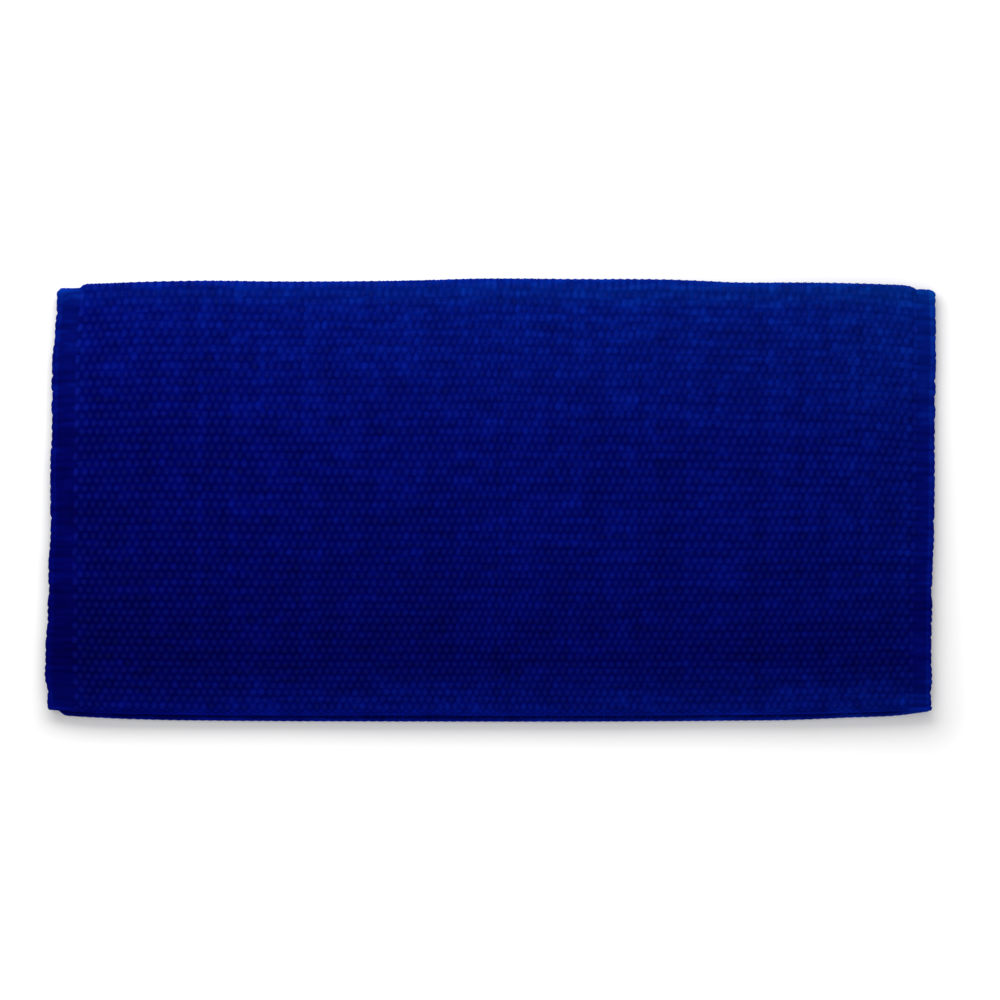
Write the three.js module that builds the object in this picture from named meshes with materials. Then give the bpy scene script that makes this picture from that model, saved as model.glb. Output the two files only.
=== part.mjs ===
import * as THREE from 'three';

// A heavy woven wool saddle blanket, folded once and lying on a surface. All sizes are in millimetres. +X
// runs along the fold, +Y points from the two open edges to the fold, and +Z is up. The lower leaf rests
// on Z = 0, and the upper leaf lies on it. A narrow, thinner header band is woven at both ends, at the
// blanket's -X and +X edges.

// Thickness of the cloth and the width of its end bands
const BODY_THICKNESS = 7.0;
const HEADER_THICKNESS = 3.6;
const LEFT_HEADER_WIDTH = 22.5;
const RIGHT_HEADER_WIDTH = 17.5;
const SHOULDER_WIDTH = 4;

// The fold, which stands higher than the leaves because cloth this heavy doesn't crease flat
const FOLD_HEIGHT = 23;
const FOLD_END_HEIGHT = 13.5;
const FOLD_RISE_WIDTH = 120;
const HEADER_FOLD_SETBACK = 4.4;
const FOLD_SLOPE_LENGTH = 115;
const FOLD_CORNER_INSET = 4.5;
const FOLD_CORNER_WIDTH = 18;

// How the upper leaf lies on the lower one
const LEAF_GAP = 1.0;
const HEADER_DROOP = 2.6;
const LOWER_LEAF_INSET = 2.2;
const CORNER_INSET = 1.6;
const CORNER_LENGTH = 6;

// Spacing of the mesh: steps along each leaf, round the fold, across the width and round the cloth's rim
const LEAF_STEPS = 22;
const LEAF_CROWDING = 0.7;
const FOLD_STEPS = 10;
const BODY_COLUMNS = 24;
const RIM_STEPS = 4;

// Colour and finish of the dyed wool
const WOOL_COLOUR = 0x04108a;
const WOOL_ROUGHNESS = 0.92;

// The fold line seen from above: its reach in +Y at each place along the width
const FOLD_LINE = [
  { x: -462, y: 223.0 },
  { x: -420, y: 224.4 },
  { x: -345, y: 226.6 },
  { x: -300, y: 227.3 },
  { x: -220, y: 226.5 },
  { x: -125, y: 226.9 },
  { x: -65, y: 227.8 },
  { x: -30, y: 229.0 },
  { x: 92, y: 229.0 },
  { x: 185, y: 228.5 },
  { x: 215, y: 227.3 },
  { x: 250, y: 225.6 },
  { x: 320, y: 225.4 },
  { x: 370, y: 224.8 },
  { x: 425, y: 223.2 },
  { x: 461, y: 222.6 },
];

// The open edges seen from above: where the upper and the lower leaf end in -Y at each place along the
// width
const OPEN_EDGES = [
  { x: -462, upper: -215.0, lower: -217.0 },
  { x: -434, upper: -218.5, lower: -222.1 },
  { x: -401, upper: -221.0, lower: -225.0 },
  { x: -343, upper: -222.2, lower: -227.4 },
  { x: -300, upper: -223.1, lower: -228.4 },
  { x: -95, upper: -223.4, lower: -228.9 },
  { x: 154, upper: -223.5, lower: -228.7 },
  { x: 247, upper: -222.8, lower: -228.0 },
  { x: 309, upper: -222.2, lower: -227.4 },
  { x: 371, upper: -219.8, lower: -224.4 },
  { x: 421, upper: -218.2, lower: -221.6 },
  { x: 456, upper: -215.2, lower: -217.6 },
];

// The two sides seen from above: where the upper leaf ends in -X and +X, from the open edge to the fold
const SIDE_EDGES = [
  { y: -228, left: -460.4, right: 455.4 },
  { y: -198, left: -460.6, right: 455.2 },
  { y: -186, left: -462.3, right: 455.2 },
  { y: -150, left: -462.2, right: 455.2 },
  { y: -122, left: -459.3, right: 455.3 },
  { y: -60, left: -458.9, right: 456.4 },
  { y: -36, left: -456.5, right: 457.4 },
  { y: 55, left: -456.9, right: 458.6 },
  { y: 76, left: -455.5, right: 458.6 },
  { y: 140, left: -455.1, right: 458.9 },
  { y: 165, left: -454.8, right: 460.2 },
  { y: 190, left: -452.1, right: 459.6 },
  { y: 215, left: -450.4, right: 459.3 },
  { y: 229, left: -450.2, right: 459.0 },
];

// Soft form of the upper leaf, measured away from the fold: a faint ridge, a shallow valley and the
// curled edge
const UPPER_LEAF_FORM = [
  { fromFold: 0, rise: 0 },
  { fromFold: 120, rise: 0.2 },
  { fromFold: 230, rise: 0.3 },
  { fromFold: 290, rise: 1.1 },
  { fromFold: 345, rise: 0.5 },
  { fromFold: 412, rise: 0 },
  { fromFold: 434, rise: 1.6 },
  { fromFold: 446, rise: 2.0 },
  { fromFold: 460, rise: 1.2 },
];

// Slight unevenness of the upper leaf: long, low waves
const LEAF_WAVES = [
  { height: 0.35, pitchX: 410, pitchY: 290, turn: 0.6 },
  { height: 0.25, pitchX: -230, pitchY: 370, turn: 2.1 },
];

// Reads one column of a table as a smooth curve, or as straight stretches between its rows.
function curveThrough(rows, along, column, Interpolant = THREE.CubicInterpolant) {
  const places = rows.map((row) => row[along]);
  const values = rows.map((row) => row[column]);
  const curve = new Interpolant(places, values, 1);
  return (place) => curve.evaluate(THREE.MathUtils.clamp(place, places[0], places.at(-1)))[0];
}

const foldReach = curveThrough(FOLD_LINE, 'x', 'y');
const openEdge = {
  upper: curveThrough(OPEN_EDGES, 'x', 'upper'),
  lower: curveThrough(OPEN_EDGES, 'x', 'lower'),
};
const leftEdge = curveThrough(SIDE_EDGES, 'y', 'left', THREE.LinearInterpolant);
const rightEdge = curveThrough(SIDE_EDGES, 'y', 'right', THREE.LinearInterpolant);
const upperLeafRise = curveThrough(UPPER_LEAF_FORM, 'fromFold', 'rise');

// Reach of the cloth in Y at the middle of its width
const MIDDLE_OPEN_Y = openEdge.upper(0);
const MIDDLE_FOLD_Y = foldReach(0);

// Places from 0 to 1 along a leaf, closer together at both ends, where its form changes most.
function leafShares() {
  return Array.from({ length: LEAF_STEPS + 1 }, (_, step) => {
    const even = step / LEAF_STEPS;
    const crowded = (1 - Math.cos(Math.PI * even)) / 2;
    return THREE.MathUtils.lerp(even, crowded, LEAF_CROWDING);
  });
}

// Stations along the cloth: the upper leaf from its open edge, the fold from its top down, and the lower
// leaf.
function stationsAlongCloth() {
  const shares = leafShares();
  const upper = shares.map((share) => ({ leaf: 'upper', toFold: share }));
  const fold = Array.from({ length: FOLD_STEPS - 1 }, (_, step) => ({
    leaf: 'fold',
    toFold: 1,
    angle: Math.PI * (0.5 - (step + 1) / FOLD_STEPS),
  }));
  const lower = shares.map((share) => ({ leaf: 'lower', toFold: 1 - share }));
  return [...upper, ...fold, ...lower];
}

// Columns across the width. Each header's columns keep their distance from its edge, and the body's share
// the rest.
function columnsAcrossWidth() {
  const header = (width) => [0, width / 3, (2 * width) / 3, width, width + SHOULDER_WIDTH];
  const body = Array.from({ length: BODY_COLUMNS - 1 }, (_, column) => (column + 1) / BODY_COLUMNS);
  return [
    ...header(LEFT_HEADER_WIDTH).map((fromLeft) => ({ fromLeft })),
    ...body.map((share) => ({ share })),
    ...header(RIGHT_HEADER_WIDTH).toReversed().map((fromRight) => ({ fromRight })),
  ];
}

// A column's place in X at one station, its distance from the nearer side edge, and the width of the
// header there.
function placeAcross(column, station) {
  const y = THREE.MathUtils.lerp(MIDDLE_OPEN_Y, MIDDLE_FOLD_Y, station.toFold);
  const inset = station.leaf === 'lower' ? LOWER_LEAF_INSET * (1 - station.toFold) : 0;
  const fromCorner = Math.max(0, 1 - (y - MIDDLE_OPEN_Y) / CORNER_LENGTH);
  const rounding = CORNER_INSET * fromCorner * fromCorner;
  const left = leftEdge(y) + inset + rounding + HEADER_THICKNESS / 2;
  const right = rightEdge(y) - inset - rounding - HEADER_THICKNESS / 2;
  if (column.fromLeft !== undefined) {
    return { x: left + column.fromLeft, fromSide: column.fromLeft, headerWidth: LEFT_HEADER_WIDTH };
  }
  if (column.fromRight !== undefined) {
    return { x: right - column.fromRight, fromSide: column.fromRight, headerWidth: RIGHT_HEADER_WIDTH };
  }
  const bodyLeft = left + LEFT_HEADER_WIDTH + SHOULDER_WIDTH;
  const bodyRight = right - RIGHT_HEADER_WIDTH - SHOULDER_WIDTH;
  const x = THREE.MathUtils.lerp(bodyLeft, bodyRight, column.share);
  const headerWidth = column.share < 0.5 ? LEFT_HEADER_WIDTH : RIGHT_HEADER_WIDTH;
  return { x, fromSide: Math.min(x - left, right - x), headerWidth };
}

// Sizes of the cloth at one place across its width. The share is 0 in the headers and 1 in the body. The
// upper leaf's middle rests half a thickness above the gap that it keeps to the lower leaf, and droops in
// the headers.
function sectionAt({ x, fromSide, headerWidth }) {
  const share = THREE.MathUtils.smoothstep(fromSide, headerWidth, headerWidth + SHOULDER_WIDTH);
  const thickness = THREE.MathUtils.lerp(HEADER_THICKNESS, BODY_THICKNESS, share);
  const rise = THREE.MathUtils.smoothstep(fromSide, 0, FOLD_RISE_WIDTH);
  const height = THREE.MathUtils.lerp(FOLD_END_HEIGHT, FOLD_HEIGHT, rise);
  const foldRadius = (height - thickness) / 2;
  const reach = foldReach(x) - HEADER_FOLD_SETBACK * (1 - share);
  const droop = HEADER_DROOP * (1 - THREE.MathUtils.smoothstep(fromSide, 0, headerWidth + SHOULDER_WIDTH));
  return {
    thickness,
    foldRadius,
    foldY: reach - thickness / 2 - foldRadius,
    restZ: BODY_THICKNESS + LEAF_GAP + BODY_THICKNESS / 2 - droop,
  };
}

function waveHeight(x, y) {
  return LEAF_WAVES.reduce((sum, wave) => {
    const phase = 2 * Math.PI * (x / wave.pitchX + y / wave.pitchY) + wave.turn;
    return sum + wave.height * (1 + Math.sin(phase));
  }, 0);
}

// Middle of the cloth's thickness at one station and place across the width.
function middleOfCloth(station, x, section) {
  const { thickness, foldRadius, foldY, restZ } = section;
  if (station.leaf === 'fold') {
    const y = foldY + foldRadius * Math.cos(station.angle);
    return new THREE.Vector3(x, y, thickness / 2 + foldRadius * (1 + Math.sin(station.angle)));
  }
  const openY = openEdge[station.leaf](x) + thickness / 2;
  const y = THREE.MathUtils.lerp(openY, foldY, station.toFold);
  if (station.leaf === 'lower') {
    return new THREE.Vector3(x, y, thickness / 2);
  }
  const slope = 1 - THREE.MathUtils.smoothstep(foldY - y, 0, FOLD_SLOPE_LENGTH);
  const foldTopZ = thickness / 2 + 2 * foldRadius;
  const form = upperLeafRise(foldY - y) + waveHeight(x, y);
  return new THREE.Vector3(x, y, THREE.MathUtils.lerp(restZ + form, foldTopZ, slope));
}

// How far a place in the fold lies nearer the middle of the width, because the fold's two ends are rounded.
function foldCornerShift(station, { x, fromSide }) {
  if (station.leaf !== 'fold') {
    return 0;
  }
  const roundness = 1 - Math.abs(Math.sin(station.angle));
  const nearness = 1 - THREE.MathUtils.smoothstep(fromSide, 0, FOLD_CORNER_WIDTH);
  return -Math.sign(x) * FOLD_CORNER_INSET * roundness * nearness;
}

// Grid of the cloth's middle with the thickness, the way along the cloth and the way out at each place.
function clothGrid() {
  const stations = stationsAlongCloth();
  const columns = columnsAcrossWidth();
  const grid = stations.map((station) =>
    columns.map((column) => {
      const place = placeAcross(column, station);
      const section = sectionAt(place);
      const x = place.x + foldCornerShift(station, place);
      return { middle: middleOfCloth(station, x, section), thickness: section.thickness };
    }),
  );
  grid.forEach((row, station) => {
    row.forEach((place, column) => {
      const before = grid[Math.max(station - 1, 0)][column].middle;
      const after = grid[Math.min(station + 1, grid.length - 1)][column].middle;
      place.along = new THREE.Vector3(0, after.y - before.y, after.z - before.z).normalize();
      place.out = new THREE.Vector3(0, -place.along.z, place.along.y);
    });
  });
  return grid;
}

// Places round the rim of the cloth in order, each with the direction in which the rim is rounded.
function rimPlaces(grid) {
  const lastStation = grid.length - 1;
  const lastColumn = grid[0].length - 1;
  const columns = Array.from({ length: lastColumn }, (_, column) => column);
  const stations = Array.from({ length: lastStation }, (_, station) => station);
  const places = [
    ...columns.map((column) => [0, column]),
    ...stations.map((station) => [station, lastColumn]),
    ...columns.map((column) => [lastStation, lastColumn - column]),
    ...stations.map((station) => [lastStation - station, 0]),
  ];
  return places.map(([station, column]) => {
    const place = grid[station][column];
    const outward = new THREE.Vector3();
    if (station === 0) {
      outward.sub(place.along);
    }
    if (station === lastStation) {
      outward.add(place.along);
    }
    if (column === 0) {
      outward.x -= 1;
    }
    if (column === lastColumn) {
      outward.x += 1;
    }
    return { station, column, outward: outward.normalize() };
  });
}

// Closed solid of the cloth: its outer face, its inner face and the rounded rim that joins them.
function clothSolid() {
  const grid = clothGrid();
  const rows = grid.length;
  const width = grid[0].length;
  const positions = [];
  const triangles = [];
  const addPoint = (point) => positions.push(point.x, point.y, point.z) / 3 - 1;
  const addQuad = (a, b, c, d) => triangles.push(a, b, c, a, c, d);
  const offset = (place, side) =>
    place.middle.clone().addScaledVector(place.out, (side * place.thickness) / 2);

  const outer = grid.map((row) => row.map((place) => addPoint(offset(place, 1))));
  const inner = grid.map((row) => row.map((place) => addPoint(offset(place, -1))));
  for (let station = 0; station < rows - 1; station += 1) {
    for (let column = 0; column < width - 1; column += 1) {
      addQuad(
        outer[station][column],
        outer[station][column + 1],
        outer[station + 1][column + 1],
        outer[station + 1][column],
      );
      addQuad(
        inner[station][column],
        inner[station + 1][column],
        inner[station + 1][column + 1],
        inner[station][column + 1],
      );
    }
  }

  const rim = rimPlaces(grid).map(({ station, column, outward }) => {
    const place = grid[station][column];
    const ring = [outer[station][column]];
    for (let step = 1; step < RIM_STEPS; step += 1) {
      const angle = Math.PI * (0.5 - step / RIM_STEPS);
      const point = place.middle.clone();
      point.addScaledVector(place.out, (Math.sin(angle) * place.thickness) / 2);
      point.addScaledVector(outward, (Math.cos(angle) * place.thickness) / 2);
      ring.push(addPoint(point));
    }
    ring.push(inner[station][column]);
    return ring;
  });
  rim.forEach((ring, place) => {
    const next = rim[(place + 1) % rim.length];
    for (let step = 0; step < RIM_STEPS; step += 1) {
      addQuad(ring[step], ring[step + 1], next[step + 1], next[step]);
    }
  });

  const geometry = new THREE.BufferGeometry();
  geometry.setAttribute('position', new THREE.Float32BufferAttribute(positions, 3));
  geometry.setIndex(triangles);
  geometry.computeVertexNormals();
  return geometry;
}

// Moves a shape so that the middle of its box stands on the origin, with its lowest face on Z = 0.
function standOnOrigin(geometry) {
  geometry.computeBoundingBox();
  const box = geometry.boundingBox;
  const centre = box.getCenter(new THREE.Vector3());
  return geometry.translate(-centre.x, -centre.y, -box.min.z);
}

const wool = new THREE.MeshStandardMaterial({
  color: WOOL_COLOUR,
  roughness: WOOL_ROUGHNESS,
  metalness: 0,
});

const blanket = new THREE.Mesh(standOnOrigin(clothSolid()), wool);
blanket.name = 'blanket';

const saddleBlanket = new THREE.Group();
saddleBlanket.name = 'saddle_blanket';
saddleBlanket.add(blanket);

export default saddleBlanket;
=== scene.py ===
"""Finish of a heavy woven wool saddle blanket, folded once and lying on a surface.

Every thread is set up flat, as it lies on the loom, and is then laid on the form in which the blanket is
folded. Flat cloth is measured across from its left side edge, along from the open edge of its upper leaf
round the fold to the open edge of its lower leaf, and out from the middle of its thickness. All sizes are in
metres.
"""

import logging
import math
from collections.abc import Mapping, Sequence
from dataclasses import dataclass, field
from enum import Enum
from typing import Any

import bpy
import numpy as np
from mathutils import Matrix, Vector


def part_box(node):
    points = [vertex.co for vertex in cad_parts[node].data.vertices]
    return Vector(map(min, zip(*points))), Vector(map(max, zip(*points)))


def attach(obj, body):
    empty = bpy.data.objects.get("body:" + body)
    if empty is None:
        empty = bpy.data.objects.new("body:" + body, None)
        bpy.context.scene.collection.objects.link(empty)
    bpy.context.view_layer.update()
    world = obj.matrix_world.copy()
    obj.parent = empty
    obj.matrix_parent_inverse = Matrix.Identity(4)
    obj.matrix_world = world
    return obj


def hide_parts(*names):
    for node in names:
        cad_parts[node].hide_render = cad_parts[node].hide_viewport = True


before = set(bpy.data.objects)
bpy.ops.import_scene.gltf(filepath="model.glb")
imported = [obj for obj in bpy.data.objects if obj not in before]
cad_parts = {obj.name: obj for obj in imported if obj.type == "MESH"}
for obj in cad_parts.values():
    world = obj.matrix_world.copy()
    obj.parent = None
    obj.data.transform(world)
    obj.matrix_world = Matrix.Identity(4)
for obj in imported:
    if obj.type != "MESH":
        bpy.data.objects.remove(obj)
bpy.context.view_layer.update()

log = logging.getLogger("saddle_blanket")

MM = 0.001
# Width and length of the folded blanket, over which its painted light and shade run
BLANKET_SIZE = (0.92, 0.46)
# Points closer than this are merged into one
MERGE_WITHIN = 0.01 * MM
# Places closer than this are taken as the same place
SAME_PLACE = 0.1 * MM
# Names of the yarns' map and of the yarns' tone in each mesh
BAKE_MAP = "OFBake"
TONE = "yarn_tone"


class Leaf(Enum):
    """The two leaves of the folded cloth."""

    UPPER = "upper"
    LOWER = "lower"


class Side(Enum):
    """The two side edges of the blanket, each with the sign of X there."""

    LEFT = -1
    RIGHT = 1


@dataclass(frozen=True)
class Curve:
    """A smooth curve through a short table of places and values.

    Attributes:
        rows: the places, in rising order, each with its value.
        unit: the size of the table's units, which is a millimetre where places and values are lengths.
    """

    rows: tuple[tuple[float, float], ...]
    unit: float = MM

    def at(self, place: np.ndarray | float) -> np.ndarray:
        """Reads the table as a smooth curve, which stays level past its ends.

        Args:
            place: where to read it.

        Returns:
            The value at each place.
        """
        places, values = np.array(self.rows).T * self.unit
        place = np.clip(place, places[0], places[-1])
        slopes = np.gradient(values, places)
        after = np.clip(np.searchsorted(places, place), 1, len(places) - 1)
        before = after - 1
        step = places[after] - places[before]
        part = (place - places[before]) / step
        return (
            (2 * part**3 - 3 * part**2 + 1) * values[before]
            + (part**3 - 2 * part**2 + part) * step * slopes[before]
            + (3 * part**2 - 2 * part**3) * values[after]
            + (part**3 - part**2) * step * slopes[after]
        )

    def between_rows(self, place: np.ndarray) -> np.ndarray:
        """Reads the table as straight stretches between its rows.

        Args:
            place: where to read it.

        Returns:
            The value at each place.
        """
        places, values = np.array(self.rows).T * self.unit
        return np.interp(place, places, values)


def smooth_step(value: np.ndarray, low: np.ndarray | float, high: np.ndarray | float) -> np.ndarray:
    """Rises smoothly from 0 at low to 1 at high.

    Args:
        value: the value to grade.
        low: where the rise starts.
        high: where the rise ends.

    Returns:
        The share from 0 to 1.
    """
    part = np.clip((value - low) / (high - low), 0, 1)
    return part * part * (3 - 2 * part)


def blend(start: np.ndarray | float, end: np.ndarray | float, share: np.ndarray | float) -> np.ndarray:
    """Goes from start, at share 0, to end, at share 1."""
    return start + (end - start) * share


@dataclass
class FoldedForm:
    """The form in which the blanket lies, and the way to it from flat cloth.

    The thicknesses, heights and side edges are those of the blanket's solid. The fold line and the open edges
    lie up to about 3 mm from the solid's, because the rounded yarns end unevenly there, and the left header
    widens a little toward the open edges. The form lies with its box centred on the solid's box.

    Attributes:
        flat_width: the width of the flat cloth, from side edge to side edge.
        flat_length: its length, from open edge to open edge.
        body_thickness: the thickness of the body.
        header_thickness: the thickness of the header bands.
        left_header_width: the width of the left header at the fold, without its rounded rim.
        right_header_width: the width of the right header, without its rounded rim.
        shoulder_width: the width over which the thickness goes from the header's to the body's.
        fold_height: the height of the fold in the middle of the width.
        fold_end_height: its height at its two ends.
        fold_rise_width: how far from a side edge the fold reaches its full height.
        header_fold_setback: how far the headers' fold lies behind the body's.
        fold_slope_length: how far from the fold the upper leaf comes down to the lower one.
        leaf_gap: the distance between the two leaves.
        header_droop: how far the upper leaf's headers hang below its body.
        lower_leaf_inset: how far the lower leaf's side edges lie inside the upper leaf's at the open edges.
        corner_inset: how much the corners at the open edges are rounded off.
        corner_length: how far along the side edge that rounding goes.
        fold_corner_inset: how much the corners at the fold are rounded off.
        fold_corner_width: how far along the fold that rounding goes.
        leaf_steps: how many places along each leaf are worked out.
        fold_steps: how many places round the fold are worked out.
        net_rows: how many places along the whole cloth the net of its middle has.
        columns_outside: how many columns of the net lie outside each side edge, a millimetre apart.
        header_columns: how many columns a millimetre apart each side has, with those outside.
        body_start: how far from a side edge the body's columns start.
        body_columns: how many columns the body has.
        fold_line: the fold line seen from above: its reach in Y at each X.
        upper_edge: the open edge of the upper leaf: its Y at each X.
        lower_edge: the open edge of the lower leaf: its Y at each X.
        left_edge: the left side edge: its X at each Y.
        right_edge: the right side edge: its X at each Y.
        left_header_spread: how much wider than at the fold the left header is at each Y.
        leaf_form: the soft form of the upper leaf: its rise at each distance from the fold.
        leaf_waves: the upper leaf's long, low waves: the height, pitch in X, pitch in Y and turn of each.
        across: the distance from the left side edge of each of the net's columns.
        middle: the net of the cloth's middle, one row for each distance across.
        outward: the direction out of the cloth at each place of the net.
        shift: the way from the form's own place to where it stands.
    """

    flat_width: float = 914 * MM
    flat_length: float = 910 * MM
    body_thickness: float = 7.0 * MM
    header_thickness: float = 3.6 * MM
    left_header_width: float = 22.5 * MM
    right_header_width: float = 17.5 * MM
    shoulder_width: float = 4.0 * MM
    fold_height: float = 23.0 * MM
    fold_end_height: float = 13.5 * MM
    fold_rise_width: float = 120 * MM
    header_fold_setback: float = 4.4 * MM
    fold_slope_length: float = 115 * MM
    leaf_gap: float = 1.0 * MM
    header_droop: float = 2.6 * MM
    lower_leaf_inset: float = 2.2 * MM
    corner_inset: float = 1.6 * MM
    corner_length: float = 6.0 * MM
    fold_corner_inset: float = 4.5 * MM
    fold_corner_width: float = 18 * MM
    leaf_steps: int = 420
    fold_steps: int = 60
    net_rows: int = 1400
    columns_outside: int = 2
    header_columns: int = 38
    body_start: float = 40 * MM
    body_columns: int = 180
    fold_line: Curve = Curve((
        (-462, 223.9), (-420, 225.1), (-345, 227.3), (-300, 228.0), (-220, 227.2), (-125, 227.6),
        (-65, 228.5), (-30, 229.7), (92, 229.7), (185, 229.1), (215, 227.9), (250, 226.3), (320, 226.1),
        (370, 225.5), (400, 224.7), (418, 224.1), (426, 223.8), (431, 223.1), (436, 222.2), (438.5, 222.5),
        (442, 223.4), (450, 223.2), (461, 222.5),
    ))
    upper_edge: Curve = Curve((
        (-462, -216.8), (-434, -218.8), (-401, -220.6), (-343, -221.7), (-300, -222.4), (-95, -222.8),
        (154, -222.9), (247, -222.2), (309, -221.7), (371, -220.0), (421, -218.7), (456, -218.2),
    ))
    lower_edge: Curve = Curve((
        (-462, -215.6), (-450, -217.8), (-443, -223.0), (-434, -224.0), (-401, -226.0), (-343, -228.1),
        (-300, -228.7), (-95, -229.7), (154, -229.6), (247, -228.9), (309, -228.2), (371, -225.6),
        (421, -223.4), (456, -218.8),
    ))
    left_edge: Curve = Curve((
        (-228, -460.4), (-198, -460.6), (-186, -462.3), (-150, -462.2), (-122, -459.3), (-60, -458.9),
        (-36, -456.5), (55, -456.9), (76, -455.5), (140, -455.1), (165, -454.8), (190, -452.1), (215, -450.4),
        (229, -450.2),
    ))
    right_edge: Curve = Curve((
        (-228, 455.4), (-198, 455.2), (-122, 455.3), (-60, 456.4), (-36, 457.4), (55, 458.6), (76, 458.6),
        (140, 458.9), (165, 460.2), (190, 459.6), (215, 459.3), (229, 459.0),
    ))
    left_header_spread: Curve = Curve(((-228, 4.6), (-150, 4.3), (-125, 2.4), (-90, 2.0), (-60, 0.6), (0, 0)))
    leaf_form: Curve = Curve((
        (0, 0), (120, 0.2), (230, 0.3), (290, 1.1), (345, 0.5), (412, 0), (434, 1.6), (446, 2.0), (460, 1.2),
    ))
    leaf_waves: tuple[tuple[float, float, float, float], ...] = (
        (0.35 * MM, 410 * MM, 290 * MM, 0.6),
        (0.25 * MM, -230 * MM, 370 * MM, 2.1),
    )
    across: np.ndarray = field(init=False)
    middle: np.ndarray = field(init=False)
    outward: np.ndarray = field(init=False)
    shift: np.ndarray = field(init=False)

    def __post_init__(self) -> None:
        """Works out the middle of the cloth on a fine net, and where the form stands."""
        header_places = (np.arange(self.header_columns) - self.columns_outside) * MM
        body_places = np.linspace(self.body_start, self.flat_width - self.body_start, self.body_columns)
        self.across = np.concatenate([header_places, body_places, self.flat_width - header_places[::-1]])
        self.middle = self._middle_net()
        along = np.gradient(self.middle, axis=1)
        along /= np.hypot(along[..., 1], along[..., 2])[..., None]
        self.outward = np.stack([0 * along[..., 0], -along[..., 2], along[..., 1]], axis=-1)
        self.shift = self._shift_to_solid()

    @property
    def rim(self) -> float:
        """Distance from a side edge to the middle of its rounded rim."""
        return self.header_thickness / 2

    def _places_across(self, across: np.ndarray, to_fold: np.ndarray, leaf: Leaf) -> tuple[np.ndarray, ...]:
        """Finds the X of places across the cloth.

        Args:
            across: distance from the left side edge of the flat cloth.
            to_fold: share of the way from the open edge to the fold.
            leaf: the leaf on which the places are.

        Returns:
            The X, the distance from the nearer rim, and the width of the header on that side.
        """
        middle_open = self.upper_edge.at(0.0)
        y = blend(middle_open, self.fold_line.at(0.0), to_fold)
        inset = self.lower_leaf_inset * (1 - to_fold) if leaf is Leaf.LOWER else 0 * to_fold
        from_corner = np.maximum(0, 1 - (y - middle_open) / self.corner_length)
        inset = inset + self.corner_inset * from_corner**2
        left = self.left_edge.between_rows(y) + inset
        right = self.right_edge.between_rows(y) - inset
        left_band = self.rim + self.left_header_width + self.shoulder_width
        right_band = self.rim + self.right_header_width + self.shoulder_width
        body_width = self.flat_width - left_band - right_band
        spread = self.left_header_spread.at(y)
        x = blend(left + left_band + spread, right - right_band, (across - left_band) / body_width)
        spread_here = spread * smooth_step(across, self.rim, left_band)
        x = np.where(across < left_band, left + across + spread_here, x)
        x = np.where(across > self.flat_width - right_band, right - (self.flat_width - across), x)
        from_side = np.minimum(x - left, right - x) - self.rim
        on_left = across < self.flat_width / 2
        header_width = np.where(on_left, self.left_header_width + spread, self.right_header_width)
        return x, from_side, header_width + 0 * x

    def _leaf_net(self, leaf: Leaf, across: np.ndarray, to_fold: np.ndarray) -> np.ndarray:
        """Finds the middle of one leaf.

        Args:
            leaf: the leaf.
            across: distances from the left side edge, one row each.
            to_fold: shares of the way from the open edge to the fold, one column each.

        Returns:
            The places, one row for each distance across and one column for each share.
        """
        x, from_side, header_width = self._places_across(across, to_fold, leaf)
        thickness, radius, fold_y, rest_z = self._section(x, from_side, header_width)
        edge = self.upper_edge if leaf is Leaf.UPPER else self.lower_edge
        y = blend(edge.at(x), fold_y, to_fold)
        if leaf is Leaf.LOWER:
            return np.stack([x, y, thickness / 2], axis=-1)
        slope = 1 - smooth_step(fold_y - y, 0, self.fold_slope_length)
        form = self.leaf_form.at(fold_y - y) + self._wave_height(x, y)
        z = blend(rest_z + form, thickness / 2 + 2 * radius, slope)
        return np.stack([x, y, z], axis=-1)

    def _section(
        self, x: np.ndarray, from_side: np.ndarray, header_width: np.ndarray
    ) -> tuple[np.ndarray, ...]:
        """Sizes of the folded cloth at places across its width.

        Args:
            x: the X of each place.
            from_side: its distance from the nearer rim.
            header_width: the width of the header on that side.

        Returns:
            The thickness, the radius of the fold's middle, the Y where the fold starts, and the height at
            which the upper leaf's middle rests.
        """
        share = smooth_step(from_side, header_width, header_width + self.shoulder_width)
        thickness = blend(self.header_thickness, self.body_thickness, share)
        rise = smooth_step(from_side, 0, self.fold_rise_width)
        radius = (blend(self.fold_end_height, self.fold_height, rise) - thickness) / 2
        reach = self.fold_line.at(x) - self.header_fold_setback * (1 - share)
        droop = self.header_droop * (1 - smooth_step(from_side, 0, header_width + self.shoulder_width))
        rest_z = 1.5 * self.body_thickness + self.leaf_gap - droop
        return thickness, radius, reach - thickness / 2 - radius, rest_z

    def _wave_height(self, x: np.ndarray, y: np.ndarray) -> np.ndarray:
        """Finds the height of the upper leaf's long waves.

        Args:
            x: the X of each place.
            y: the Y of each place.

        Returns:
            The height at each place.
        """
        heights = (
            height * (1 + np.sin(2 * np.pi * (x / pitch_x + y / pitch_y) + turn))
            for height, pitch_x, pitch_y, turn in self.leaf_waves
        )
        return sum(heights)

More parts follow.
